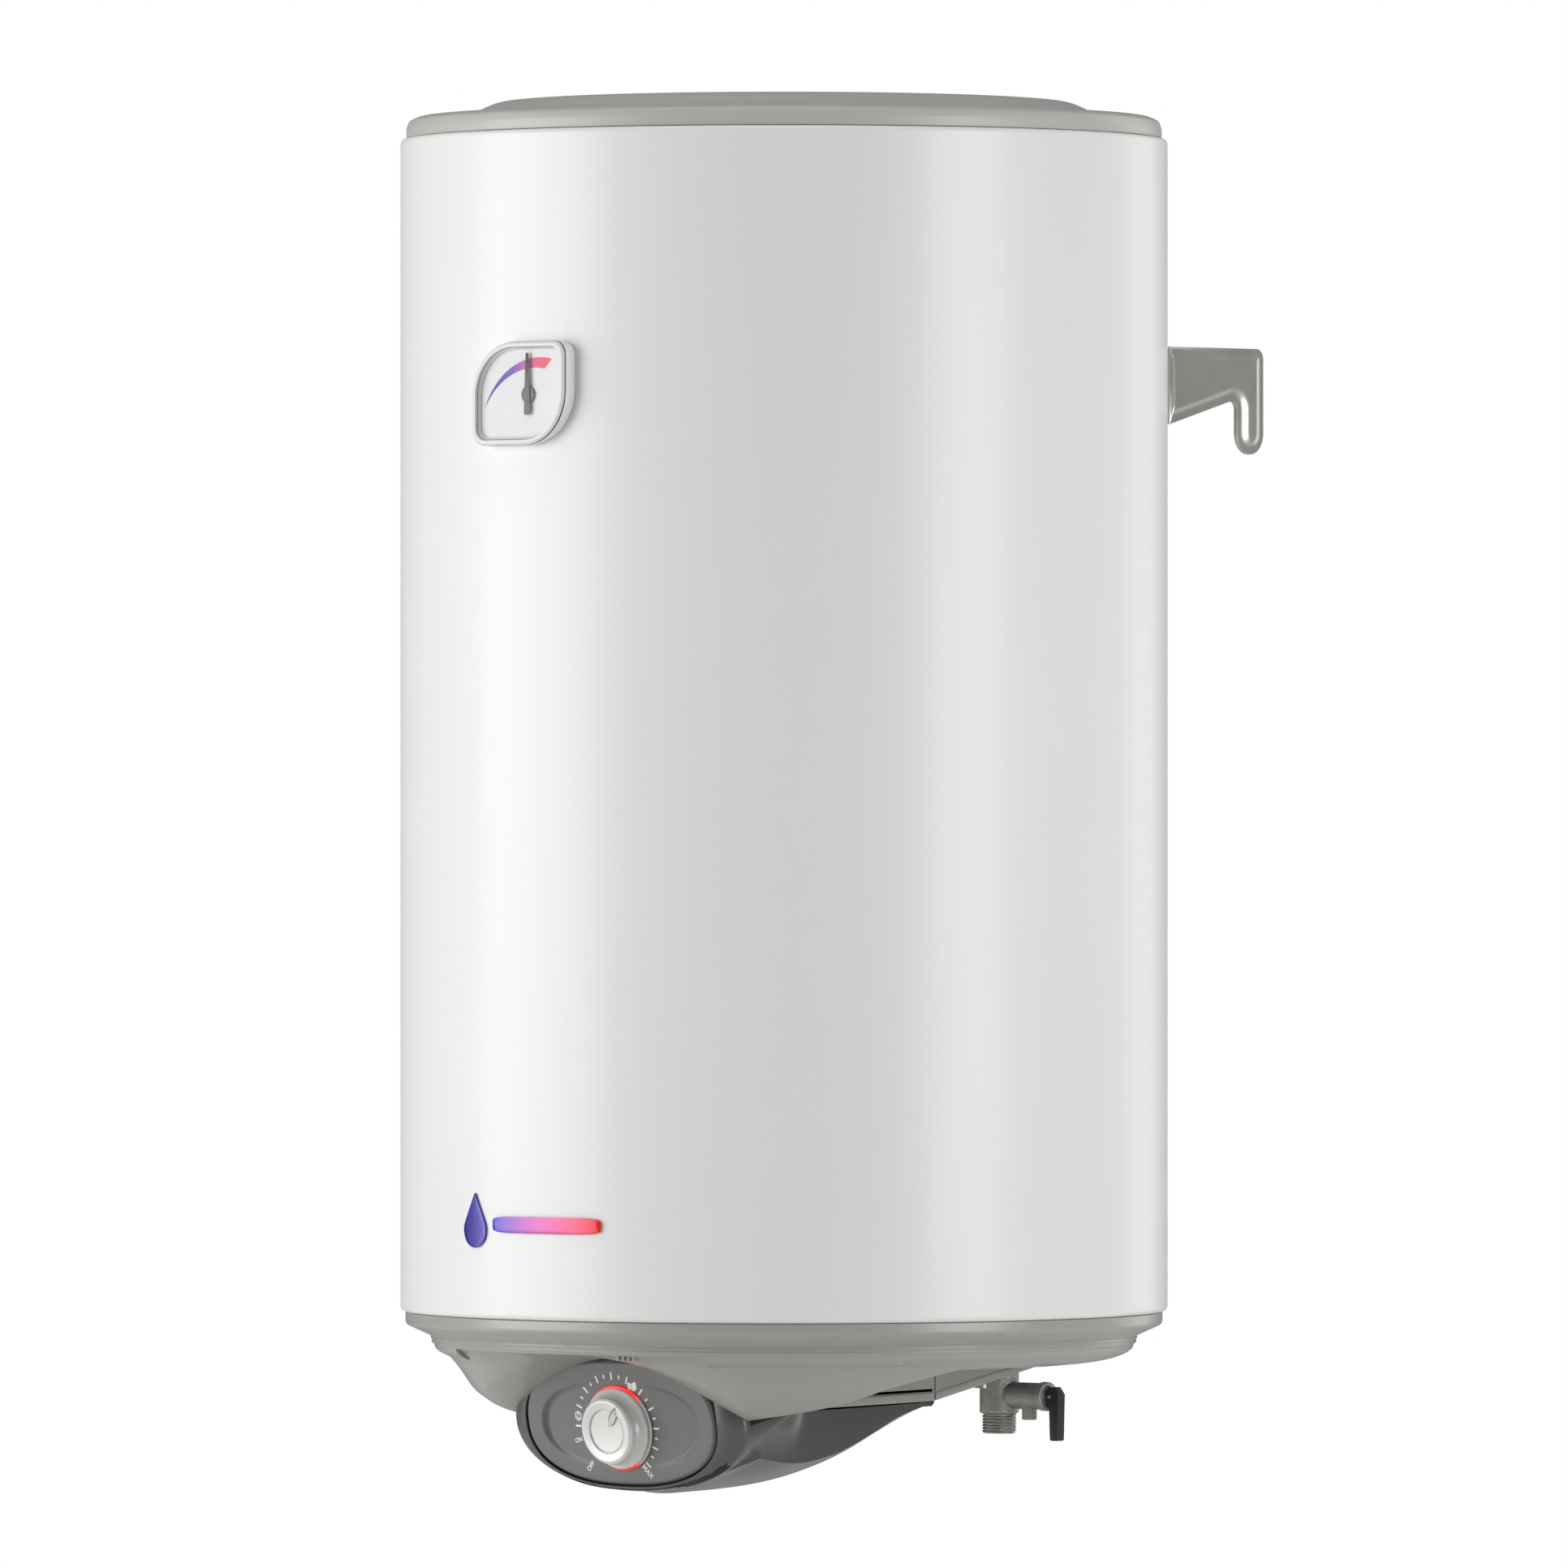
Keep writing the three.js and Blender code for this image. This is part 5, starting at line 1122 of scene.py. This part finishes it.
def gauge_outline(inset, steps=14):
    """Two opposite corners with a large radius and two with a small one."""
    w, h = GAUGE_HALF_W - inset, GAUGE_HALF_H - inset
    big = GAUGE_HALF_H * 1.05 - inset
    small = GAUGE_HALF_H * 0.28 - inset * 0.5
    line = []
    for k, (sx, sy, r) in enumerate(((1, 1, small), (-1, 1, big), (-1, -1, small), (1, -1, big))):
        for i in range(steps + 1):
            turn = math.pi / 2 * (k + i / steps)
            line.append((sx * (w - r) + r * math.cos(turn), sy * (h - r) + r * math.sin(turn)))
    return line


def gauge_ring(inset, z=None):
    back = JACKET_R + GAP
    return [(x, y, math.sqrt(back ** 2 - x * x) - JACKET_R - GAUGE_PROUD if z is None else z)
            for x, y in gauge_outline(inset)]


bezel_steps = [(0, None), (0, -2.2), (0.2, -1.2), (0.8, -0.4), (1.7, -0.05), (2.7, 0), (3.15, -0.2),
               (3.4, -0.7), (3.4, -1.6), (3.7, -1.7), (4.8, -3.75), (4.8, -3.9), (3.45, -3.9),
               (3.45, None), (0, None)]
bezel = shaped("gauge_bezel_moulding", *skinned([gauge_ring(*step) for step in bezel_steps]), GAUGE, sharp=38)
bezel_plastic = finish_of("pale bezel plastic", "e3e4e1", 0.3, coat=0.2, drift=0.015)
# The needle's dark lacquer, which also paints the bezel's shade lines below.
needle_and_painted_shade_grey = finish_of("dark needle lacquer and painted shade", "2e2e30", 0.3, metal=0.2, coat=0.3)
bezel.data.materials.append(bezel_plastic)
bezel.data.materials.append(needle_and_painted_shade_grey)
gauge_from_world = GAUGE.inverted()
# Painted shade: a thin band of the inner wall takes the dark finish as a painted reflection line, and the
# ledge above the dial takes it as a painted shadow line.
for polygon in bezel.data.polygons:
    height = (gauge_from_world @ polygon.center).z
    if -1.72 < height < -1.55 or -4.2 < height < -3.78:
        polygon.material_index = 1
fit(bezel, bezel_plastic, "bezel", "gauge_bezel")


def flat_at(z):
    return lambda a, b: (a, b, z)


dial = laid_sheet("gauge_dial_plate", gauge_outline(LENS_INSET), 6, flat_at(DIAL_FACE), 0.7, GAUGE, (0, 0, 1))
dial_paper = finish_of("white dial", "f0f0f0", 0.55, drift=0.01)
fit(dial, dial_paper, "dial", "gauge_dial")


def arc_through(a, b, c, steps=28):
    """Points on the circle through three spots, clockwise from the first to the last."""
    one, two, three = complex(*a), complex(*b), complex(*c)
    w = (three - one) / (two - one)
    centre = (two - one) * (w - abs(w) ** 2) / (2j * w.imag) + one
    start = one - centre
    sweep = math.atan2(start.imag, start.real) - math.atan2((three - centre).imag, (three - centre).real)
    sweep %= 2 * math.pi
    spun = [centre + start * complex(math.cos(-sweep * i / steps), math.sin(-sweep * i / steps))
            for i in range(steps + 1)]
    return [(p.real, p.imag) for p in spun]


def ramped(material, first, last, stops):
    """Colours a finish along the heater's width, between two places given in millimetres."""
    tree = material.node_tree
    where = tree.nodes.new("ShaderNodeTexCoord")
    split = tree.nodes.new("ShaderNodeSeparateXYZ")
    span = tree.nodes.new("ShaderNodeMapRange")
    span.inputs["From Min"].default_value = first * MM
    span.inputs["From Max"].default_value = last * MM
    tint = ramp_node(tree, stops)
    tree.links.new(where.outputs["Object"], split.inputs[0])
    tree.links.new(split.outputs["X"], span.inputs["Value"])
    tree.links.new(span.outputs["Result"], tint.inputs["Fac"])
    tree.links.new(tint.outputs["Color"], tree.nodes["Principled BSDF"].inputs["Base Color"])


tip = (-35.1, -7.5)
swoosh_line = arc_through(tip, (-8.7, 18.6), (18.1, 20.9))
swoosh_line += arc_through(tip, (-11.7, 12.7), (12.6, 15.1))[:0:-1]
swoosh = laid_sheet("dial_swoosh", swoosh_line, 3, flat_at(DIAL_FACE + 0.1), 0.1, ON_PIVOT, (0, 0, 1))
swoosh_print = finish_of("blue to red print", "8030a0", 0.45)
ramped(swoosh_print, -29, 24, [(0, "1c0f9a"), (0.4, "6a2cc0"), (0.66, "e34f9a"), (1, "ff1a00")])
fit(swoosh, swoosh_print, "dial")

needle_widths = [(-12, 1.5), (-11.4, 2.1), (-10, 2.4), (0, 2.1), (14, 1.5), (24, 1.05), (24.6, 0.8)]
needle_loops = []
for y, w in needle_widths:
    needle_loops.append([(w, y, -2.4), (w, y, -2.15), (0, y, -1.8), (-w, y, -2.15), (-w, y, -2.4)])
needle = shaped("gauge_needle_blade", *skinned(needle_loops, capped=True), ON_PIVOT, sharp=20)
fit(needle, needle_and_painted_shade_grey, "needle", "gauge_needle", body="needle")
hub_profile = [(0, -2.7), *rounded([(4.2, -2.7), (5.2, -2.75, 0.4), (5.2, -3.7, 0.1), (4, -3.7)]), (0, -3.7)]
hub = turned("gauge_hub_cap", hub_profile, ON_PIVOT, sides=64)
fit(hub, needle_and_painted_shade_grey, "needle", "gauge_hub")
lens = laid_sheet("gauge_lens_sheet", gauge_outline(LENS_INSET), 8, flat_at(-0.4), 1.0, GAUGE, (0, 0, 1),
                  edge=0.2)
clear = finish_of("clear lens", "fbfcfd", 0.04, depth=0.00001, blur=0.01)
clear.node_tree.nodes["Principled BSDF"].inputs["Alpha"].default_value = 0.04
fit(lens, clear, "clear", "gauge_lens")


# ---------------------------------------------------------------- badge
# A drop and a bar of lacquered metal glued to the jacket under the gauge, shading from blue at the
# drop to red at the far end. No name or mark.
BADGE_Z = BASE + 56
BADGE_THICK = 1.3
DROP_X = -43.5
DROP_R = 10.5


def on_jacket(x, up):
    out = JACKET_R + GAP + BADGE_THICK
    return (x, -math.sqrt(out ** 2 - x * x), BADGE_Z + up)


drop_line = [(DROP_X, DROP_R * 1.75)]
for i in range(49):
    turn = math.radians(150 + 5 * i)
    drop_line.append((DROP_X + DROP_R * math.cos(turn), DROP_R * (math.sin(turn) - 0.35)))
bar_line = [(x + 14, y) for x, y in super_ellipse(40.5, 4.83, 6, 96)]
drop = laid_sheet("badge_drop_plate", drop_line, 2.5, on_jacket, BADGE_THICK, HEATER, (0, -1, 0), edge=0.35)
bar = laid_sheet("badge_bar_plate", bar_line, 2.5, on_jacket, BADGE_THICK, HEATER, (0, -1, 0), edge=0.35)
badge_lacquer = finish_of("blue to red lacquer", "8030a0", 0.22, metal=0.2, coat=0.6)
ramped(badge_lacquer, -54, 54, [(0, "1a0f8c"), (0.3, "3b22b0"), (0.62, "c0409c"), (1, "f01c10")])
fit(drop, badge_lacquer, "blue", "badge_drop")
fit(bar, badge_lacquer, "red", "badge_bar")


# ---------------------------------------------------------------- wall bracket
# Zinc-plated sheet: a strap bent round the jacket's back, and a pressed arm welded on at each side
# with a raised panel and a hooked leg that hangs on the wall. Two hexagon bolts hold the strap.
HOOK_X = 166
SHEET = 2.5
EMBOSS = 2.2
EMBOSS_EDGE = 3.4
EMBOSS_SLOPE = 6
STRAP_R = JACKET_R + GAP + SHEET
FOOT_R = STRAP_R + GAP + SHEET
HANGER_ANGLE = math.radians(24)
WALL_Y = JACKET_R + 20
arm_line = rounded([(162, 32.4), (WALL_Y, 32.4, 6), (WALL_Y, -31.4, 12.4), (WALL_Y - 25, -31.4, 12.4),
                    (WALL_Y - 25, 1.9, 5), (162, -14.4)], closed=True, steps=10)
panel_line = rounded([(2, 32.4), (WALL_Y, 32.4, 6), (WALL_Y, -31.4, 12.4), (WALL_Y - 25, -31.4, 12.4),
                      (WALL_Y - 25, 1.9, 5), (2, -55.8)], closed=True, steps=10)
ends_at = math.asin(HOOK_X / FOOT_R)


def hook_arm(name, side):
    def pressed(y, z):
        rise = eased((edge_reach((y, z), panel_line) - EMBOSS_EDGE) / EMBOSS_SLOPE)
        return (side * (HOOK_X + EMBOSS * rise), y, z)

    def wrapped(a, z):
        turn = ends_at - a / FOOT_R
        return (side * FOOT_R * math.sin(turn), FOOT_R * math.cos(turn), z)

    face = laid_sheet(name, arm_line, 1.6, pressed, SHEET, HEATER, (side, 0, 0), edge=0.4)
    foot_line = rounded([(0, -12.5), (33, -12.5, 5), (33, 29.4, 5), (0, 29.4)], closed=True)
    foot = laid_sheet("foot", foot_line, 4, wrapped, SHEET, HEATER, (side, 1, 0), edge=0.3)
    return joined(name, face, foot)


def round_back(a, z):
    return (STRAP_R * math.sin(a / STRAP_R), STRAP_R * math.cos(a / STRAP_R), z)


def row_round(given, put, sum_of, facing, height=0.0):
    """Points in a row round the heater's axis, at its back (1) or front (-1), and their angles."""
    index = put("GeometryNodeInputIndex").outputs[0]
    angle = sum_of("ADD", given["First"], sum_of("MULTIPLY", index, given["Step"]))
    x = sum_of("MULTIPLY", given["Ring"], sum_of("SINE", angle))
    y = sum_of("MULTIPLY", given["Ring"], sum_of("MULTIPLY", sum_of("COSINE", angle), facing))
    place = put("ShaderNodeCombineXYZ", {0: x, 1: y, 2: height}).outputs[0]
    return put("GeometryNodePoints", {"Count": given["Count"], "Position": place}).outputs[0], angle


def bolt_tree():
    """Hexagon heads on washers, set round the back of the heater."""
    tree, given, put, sum_of, end = tree_with(
        "round bolts", ("Count", "Int"), ("First", "Float"), ("Step", "Float"), ("Ring", "Float"),
        ("Head", "Float"), ("Tall", "Float"), ("Shank", "Float"), ("Reach", "Float"),
        ("Material", "Material"))
    points, angle = row_round(given, put, sum_of, 1.0)
    turn = put("ShaderNodeCombineXYZ", {0: -math.pi / 2, 2: sum_of("MULTIPLY", angle, -1.0)}).outputs[0]

    def drum(sides, low_r, high_r, low, high):
        made = put("GeometryNodeMeshCone", {"Vertices": sides, "Radius Top": high_r, "Radius Bottom": low_r,
                                            "Depth": sum_of("SUBTRACT", high, low)}).outputs[0]
        up = put("ShaderNodeCombineXYZ", {2: low}).outputs[0]
        return put("GeometryNodeTransform", {"Geometry": made, "Translation": up}).outputs[0]

    crown = sum_of("MULTIPLY", given["Tall"], 0.86)
    washer = sum_of("MULTIPLY", given["Tall"], 0.2)
    wide = sum_of("MULTIPLY", given["Head"], 1.12)
    slim = sum_of("MULTIPLY", given["Head"], 0.84)
    bolt = put("GeometryNodeJoinGeometry")
    drums = (drum(6, given["Head"], given["Head"], 0.0, crown),
             drum(6, given["Head"], slim, crown, given["Tall"]),
             drum(32, wide, wide, 0.0, washer),
             drum(16, given["Shank"], given["Shank"], given["Reach"], 0.0))
    for drum_made in drums:
        tree.links.new(drum_made, bolt.inputs[0])
    set_round = put("GeometryNodeInstanceOnPoints", {
        "Points": points, "Instance": bolt.outputs[0], "Rotation": turn}).outputs[0]
    end(set_round, given["Material"])
    return tree


zinc = finish_of("zinc plated sheet", "c6c7c1", 0.3, metal=0.7, grain=900, depth=0.0001,
                 drift=0.08, drift_size=40, blur=0.1)
steel = finish_of("bright steel", "b9bbbd", 0.28, metal=0.9, grain=1500, depth=0.00006, drift=0.05, blur=0.06)
fit(hook_arm("hook_arm_sheet_left", -1), zinc, "zinc", "hook_arm_left")
fit(hook_arm("hook_arm_sheet_right", 1), zinc, "zinc", "hook_arm_right")
strap_end = math.radians(41)
strap_half = STRAP_R * strap_end
strap_rise = 30
strap_corner = 8
strap_corners = ((-1, -1), (1, -1), (1, 1), (-1, 1))
strap_line = rounded([(a * strap_half, b * strap_rise, strap_corner) for a, b in strap_corners], closed=True)
strap = laid_sheet("hanger_strap_sheet", strap_line, 6, round_back, SHEET, HEATER, (0, 1, 0), edge=0.4)
fit(strap, zinc, "zinc", "hanger_strap")
bolts = grown("hanger_bolts", bolt_tree(), HEATER, Count=2, First=-HANGER_ANGLE, Step=2 * HANGER_ANGLE,
              Ring=STRAP_R + GAP, Head=8.5, Tall=6.0, Shank=5.0, Reach=-30.0, Material=steel)
fit(bolts, steel, "steel", "hanger_bolt_left", "hanger_bolt_right")


# ---------------------------------------------------------------- pipes under the cover
# Two steel nipples with a cut thread, a coloured ring round each, and the black gland of the cable
# between them with its hexagon nut.
PIPE_X = 50
PIPE_Y = 140
PIPE_R = 10.48
PIPE_BORE = 8
PIPE_TOP = BASE + 48
PITCH = 1.814
GLAND_Y = 118


def at_pipe(side):
    return HEATER @ Matrix.Translation((side * PIPE_X, PIPE_Y, 0))


def helix_tree():
    """A round wire wound as a helix: a thread's crest or a spring."""
    tree, given, put, sum_of, end = tree_with(
        "helix", ("Turns", "Float"), ("Radius", "Float"), ("Height", "Float"), ("Wire", "Float"),
        ("Material", "Material"))
    spiral = put("GeometryNodeCurveSpiral", {
        "Resolution": 40, "Rotations": given["Turns"], "Start Radius": given["Radius"],
        "End Radius": given["Radius"], "Height": given["Height"]}).outputs[0]
    section = put("GeometryNodeCurvePrimitiveCircle", {"Resolution": 8, "Radius": given["Wire"]}).outputs[0]
    wire = put("GeometryNodeCurveToMesh", {
        "Curve": spiral, "Profile Curve": section, "Fill Caps": True}).outputs[0]
    end(wire, given["Material"])
    return tree


helix = helix_tree()
hot_end = BASE - 61
hot_profile = rounded([(PIPE_R - 0.4, BASE - 40), (PIPE_R - 0.4, PIPE_TOP, 0.6), (PIPE_BORE, PIPE_TOP, 0.4),
                       (PIPE_BORE, hot_end, 0.4), (PIPE_R - 0.4, hot_end, 0.9)], closed=True)
hot_nipple = turned("hot_nipple_pipe", hot_profile, at_pipe(-1), sides=64)
fit(hot_nipple, steel, "steel", "hot_nipple")
hot_thread = grown("hot_nipple_thread", helix, at_pipe(-1) @ Matrix.Translation((0, 0, hot_end + 1)),
                   Turns=8.0, Radius=PIPE_R - 0.55, Height=8 * PITCH, Wire=0.55, Material=steel)
fit(hot_thread, steel, "steel")
ring_low = strip_bottom(PIPE_Y) - 1.5
ring_profile = rounded([(16, ring_low, 1.4), (16, ring_low + 6, 0.5), (PIPE_R + GAP, ring_low + 6, 0.3),
                        (PIPE_R + GAP, ring_low, 0.8)], closed=True)
ring_red = finish_of("red ring plastic", "c8362c", 0.42, drift=0.04)
ring_blue = finish_of("blue ring plastic", "2a5fc4", 0.42, drift=0.04)
fit(turned("hot_ring_moulding", ring_profile, at_pipe(-1), sides=96), ring_red, "red", "hot_ring")
fit(turned("cold_ring_moulding", ring_profile, at_pipe(1), sides=96), ring_blue, "blue", "cold_ring")
gland_low = strip_bottom(GLAND_Y) - 12
gland_at = HEATER @ Matrix.Translation((0, GLAND_Y, gland_low))
gland_profile = rounded([(9, 0, 2.2), (9, 22, 0.5), (4.5, 22, 0.4), (4.5, 0, 1.5)], closed=True)
gland = turned("cable_gland_moulding", gland_profile, gland_at, sides=64)
nut_profile = rounded([(12, 1, 0.6), (12, 6, 0.6), (8.5, 6), (8.5, 1)], closed=True)
gland_nut = turned("gland_nut", nut_profile, gland_at, sides=6)
black = finish_of("black plastic", "2b292c", 0.45, drift=0.05)
fit(joined("cable_gland_moulding", gland, gland_nut), black, "black", "cable_gland")


# ---------------------------------------------------------------- safety valve
# A cast and nickelled brass body screwed on the cold pipe, with a side branch, a drain spout and a
# turned thread; a black lever on a bright pin draws the relief stem out of the branch.
VALVE_AXIS = -53.6
VALVE_R = 11.88
LEVER_PIN = 42
LEVER_HALF_Y = 3.2
VALVE = at_pipe(1) @ Matrix.Translation((0, 0, BASE))
BRANCH = VALVE @ Matrix.Translation((0, 0, VALVE_AXIS)) @ Matrix.Rotation(math.pi / 2, 4, "Y")
ON_PIN = VALVE @ Matrix.Translation((LEVER_PIN, 0, VALVE_AXIS)) @ Matrix.Rotation(math.pi / 2, 4, "X")


def pipe_profile(r, bore, low, high, soft):
    return rounded([(r, low, soft), (r, high, soft), (bore, high, 0.3), (bore, low, 0.3)], closed=True)


cast_parts = [
    turned("valve_cast", pipe_profile(VALVE_R, 9, -64.6, -39.3, 1.2), VALVE, sides=72),
    turned("waist", pipe_profile(9.6, 5, -76.7, -62, 0.5), VALVE, sides=72),
    turned("branch", pipe_profile(8.1, 6, 10.2, 36, 0.4), BRANCH, sides=56),
    turned("collar", pipe_profile(8.8, 6, 34.3, 39.3, 0.6), BRANCH, sides=56),
    turned("spout", pipe_profile(4.5, 2.8, -68, -60, 0.5), VALVE @ Matrix.Translation((24, 0, 0)), sides=40),
]
valve_cast = joined("valve_cast", *cast_parts)
melt = valve_cast.modifiers.new("melt", "REMESH")
melt.mode = "VOXEL"
melt.voxel_size = 0.42 * MM
melt.use_smooth_shade = True
calm = valve_cast.modifiers.new("calm", "SMOOTH")
calm.factor = 0.5
calm.iterations = 4
settled(valve_cast)
nickel = finish_of("cast nickelled brass", "a6a5a0", 0.36, metal=0.9, grain=1100, depth=0.0012,
                   drift=0.08, drift_size=60, blur=0.08)
valve_cast.data.materials.clear()
fit(valve_cast, nickel, "nickel", "valve_body")
cut_thread = grown("valve_thread", helix, VALVE @ Matrix.Translation((0, 0, -76.2)),
                   Turns=6.0, Radius=PIPE_R - 0.7, Height=6 * PITCH, Wire=0.62, Material=nickel)
fit(cut_thread, nickel, "nickel")
bonnet = turned("valve_bonnet_disc", pipe_profile(5.8, 2.4, 33.3, 38.7, 0.4), BRANCH, sides=48)
fit(bonnet, nickel, "nickel", "valve_bonnet")

stem_profile = [(0, 11.8), (5.2, 11.8), *rounded([(5.2, 14, 0.3), (2, 14), (2, 43.9, 0.5), (0, 43.9)])]
stem = turned("relief_stem_rod", stem_profile, BRANCH, sides=40)
fit(stem, steel, "steel", "valve_stem", body="relief_stem")
pin_profile = [(0, -3.5), *rounded([(0.9, -3.5), (1.2, -3.2, 0.2), (1.2, 3.2, 0.2), (0.9, 3.5)]), (0, 3.5)]
pin = turned("lever_pin_rod", pin_profile, ON_PIN, sides=32)
fit(pin, steel, "steel", "lever_pin", body="relief_stem")

cam = []
cam_steps = 24
cam_turn = math.radians(85)
cam_rise = 3.5
for i in range(cam_steps + 1):
    turn = cam_turn * i / cam_steps
    reach = 2.3 + cam_rise * i / cam_steps
    cam.append((-reach * math.cos(turn), reach * math.sin(turn)))
lever_line = cam + rounded([cam[-1], (4.1, 5.9, 0.8), (7.6, 1.5, 1.2), (6.8, -26.5, 1.2),
                            (0.6, -26.5, 1.2), (0, -8, 3), (-2.4, -5)], steps=5)[1:]
count = len(lever_line)
lever_points = [(x, z, half) for half in (-LEVER_HALF_Y, LEVER_HALF_Y) for x, z in lever_line]
lever_faces = [(i, (i + 1) % count, (i + 1) % count + count, i + count) for i in range(count)]
lever_faces += [tuple(range(count))[::-1], tuple(range(count, 2 * count))]
lever = shaped("valve_lever_moulding", lever_points, lever_faces, ON_PIN)
stem_slot = shaped("stem_slot", *box_corners(-8, 3.4, -6, 9, -2.3, 2.3), ON_PIN)
cut_away(lever, stem_slot)
soft_edge = lever.modifiers.new("edge", "BEVEL")
soft_edge.width = 0.5 * MM
soft_edge.segments = 3
soft_edge.limit_method = "ANGLE"
soft_edge.angle_limit = math.radians(50)
settled(lever)
lever.data.set_sharp_from_angle(angle=math.radians(40))
fit(lever, black, "black", "valve_lever", body="relief_lever")


# ---------------------------------------------------------------- ribs under the lip
# Four short ribs of the bowl's own grey plastic, moulded with it just under the lip and a little
# right of the front. They are the catch that the cover's edge snaps over.
def rib_tree():
    """Small blocks standing in a row round the heater."""
    tree, given, put, sum_of, end = tree_with(
        "rib row", ("Count", "Int"), ("First", "Float"), ("Step", "Float"), ("Ring", "Float"),
        ("Height", "Float"), ("Size", "Vector"), ("Material", "Material"))
    points, angle = row_round(given, put, sum_of, -1.0, given["Height"])
    turn = put("ShaderNodeCombineXYZ", {2: angle}).outputs[0]
    block = put("GeometryNodeMeshCube", {"Size": given["Size"]}).outputs[0]
    row = put("GeometryNodeInstanceOnPoints", {
        "Points": points, "Instance": block, "Rotation": turn}).outputs[0]
    end(row, given["Material"])
    return tree


ribs = grown("lip_ribs", rib_tree(), HEATER, Count=4, First=math.radians(12.4), Step=math.radians(1.0),
             Ring=BOWL_TOP_R - 12, Height=LIP_Z - 2.0, Size=(1.5, 12, 3.5), Material=mid_grey)
fit(ribs, mid_grey, "mid_grey")


# ---------------------------------------------------------------- pieces inside
# The enamelled steel tank, its foam and all that is screwed into its flange. They keep the shapes
# of the frame, and each takes the finish of its real material: enamel, rubber, copper, steel, plastic.
def dress(material, *names):
    """Gives pieces of the frame one material."""
    for name in names:
        for place in frame["nodes"][name].material_slots:
            place.material = material


dress(finish_of("blue tank enamel", "3b5266", 0.35, coat=0.3, drift=0.08), "inner_tank")
dress(finish_of("hard foam", "e2cf9a", 0.95, grain=500, depth=0.001, drift=0.06), "insulation")
dress(finish_of("black rubber", "2c2c2c", 0.8, drift=0.05), "flange_gasket")
copper = finish_of("copper tube", "b87848", 0.32, metal=0.9, drift=0.1)
dress(copper, "gauge_bulb", "heating_element", "sensor_pocket")
dress(finish_of("grey magnesium", "9fa1a3", 0.6, metal=0.6, drift=0.1), "anode_rod")
dress(finish_of("green circuit board", "2f6b3f", 0.55, drift=0.08), "indicator_board")
dress(finish_of("white ceramic and plastic", "ecece8", 0.5), "terminal_block", "cold_diffuser")
dress(black, "thermostat_body", "thermal_cutout", "nonreturn_poppet")
dress(ring_red, "reset_button")
dress(steel, "flange_plate", "anode_nut", "hot_standpipe", "cold_nipple", "thermostat_shaft", "valve_spring",
      "cover_screw_left", "cover_screw_right", *[f"flange_bolt_{i}" for i in range(1, 6)])


# ---------------------------------------------------------------- floor
# A plain pale floor well under the heater, painted and faintly uneven. It is not part of the heater
# and only catches its light.
floor_points = [(x * FLOOR_HALF, y * FLOOR_HALF, FLOOR_Z) for x, y in ((-1, -1), (1, -1), (1, 1), (-1, 1))]
floor = shaped("floor", floor_points, [(0, 1, 2, 3)], Matrix.Identity(4))
floor_paint = finish_of("pale floor", "f0f0ee", 0.7, grain=40, depth=0.0005, drift=0.01, drift_size=2)
floor.data.materials.append(floor_paint)
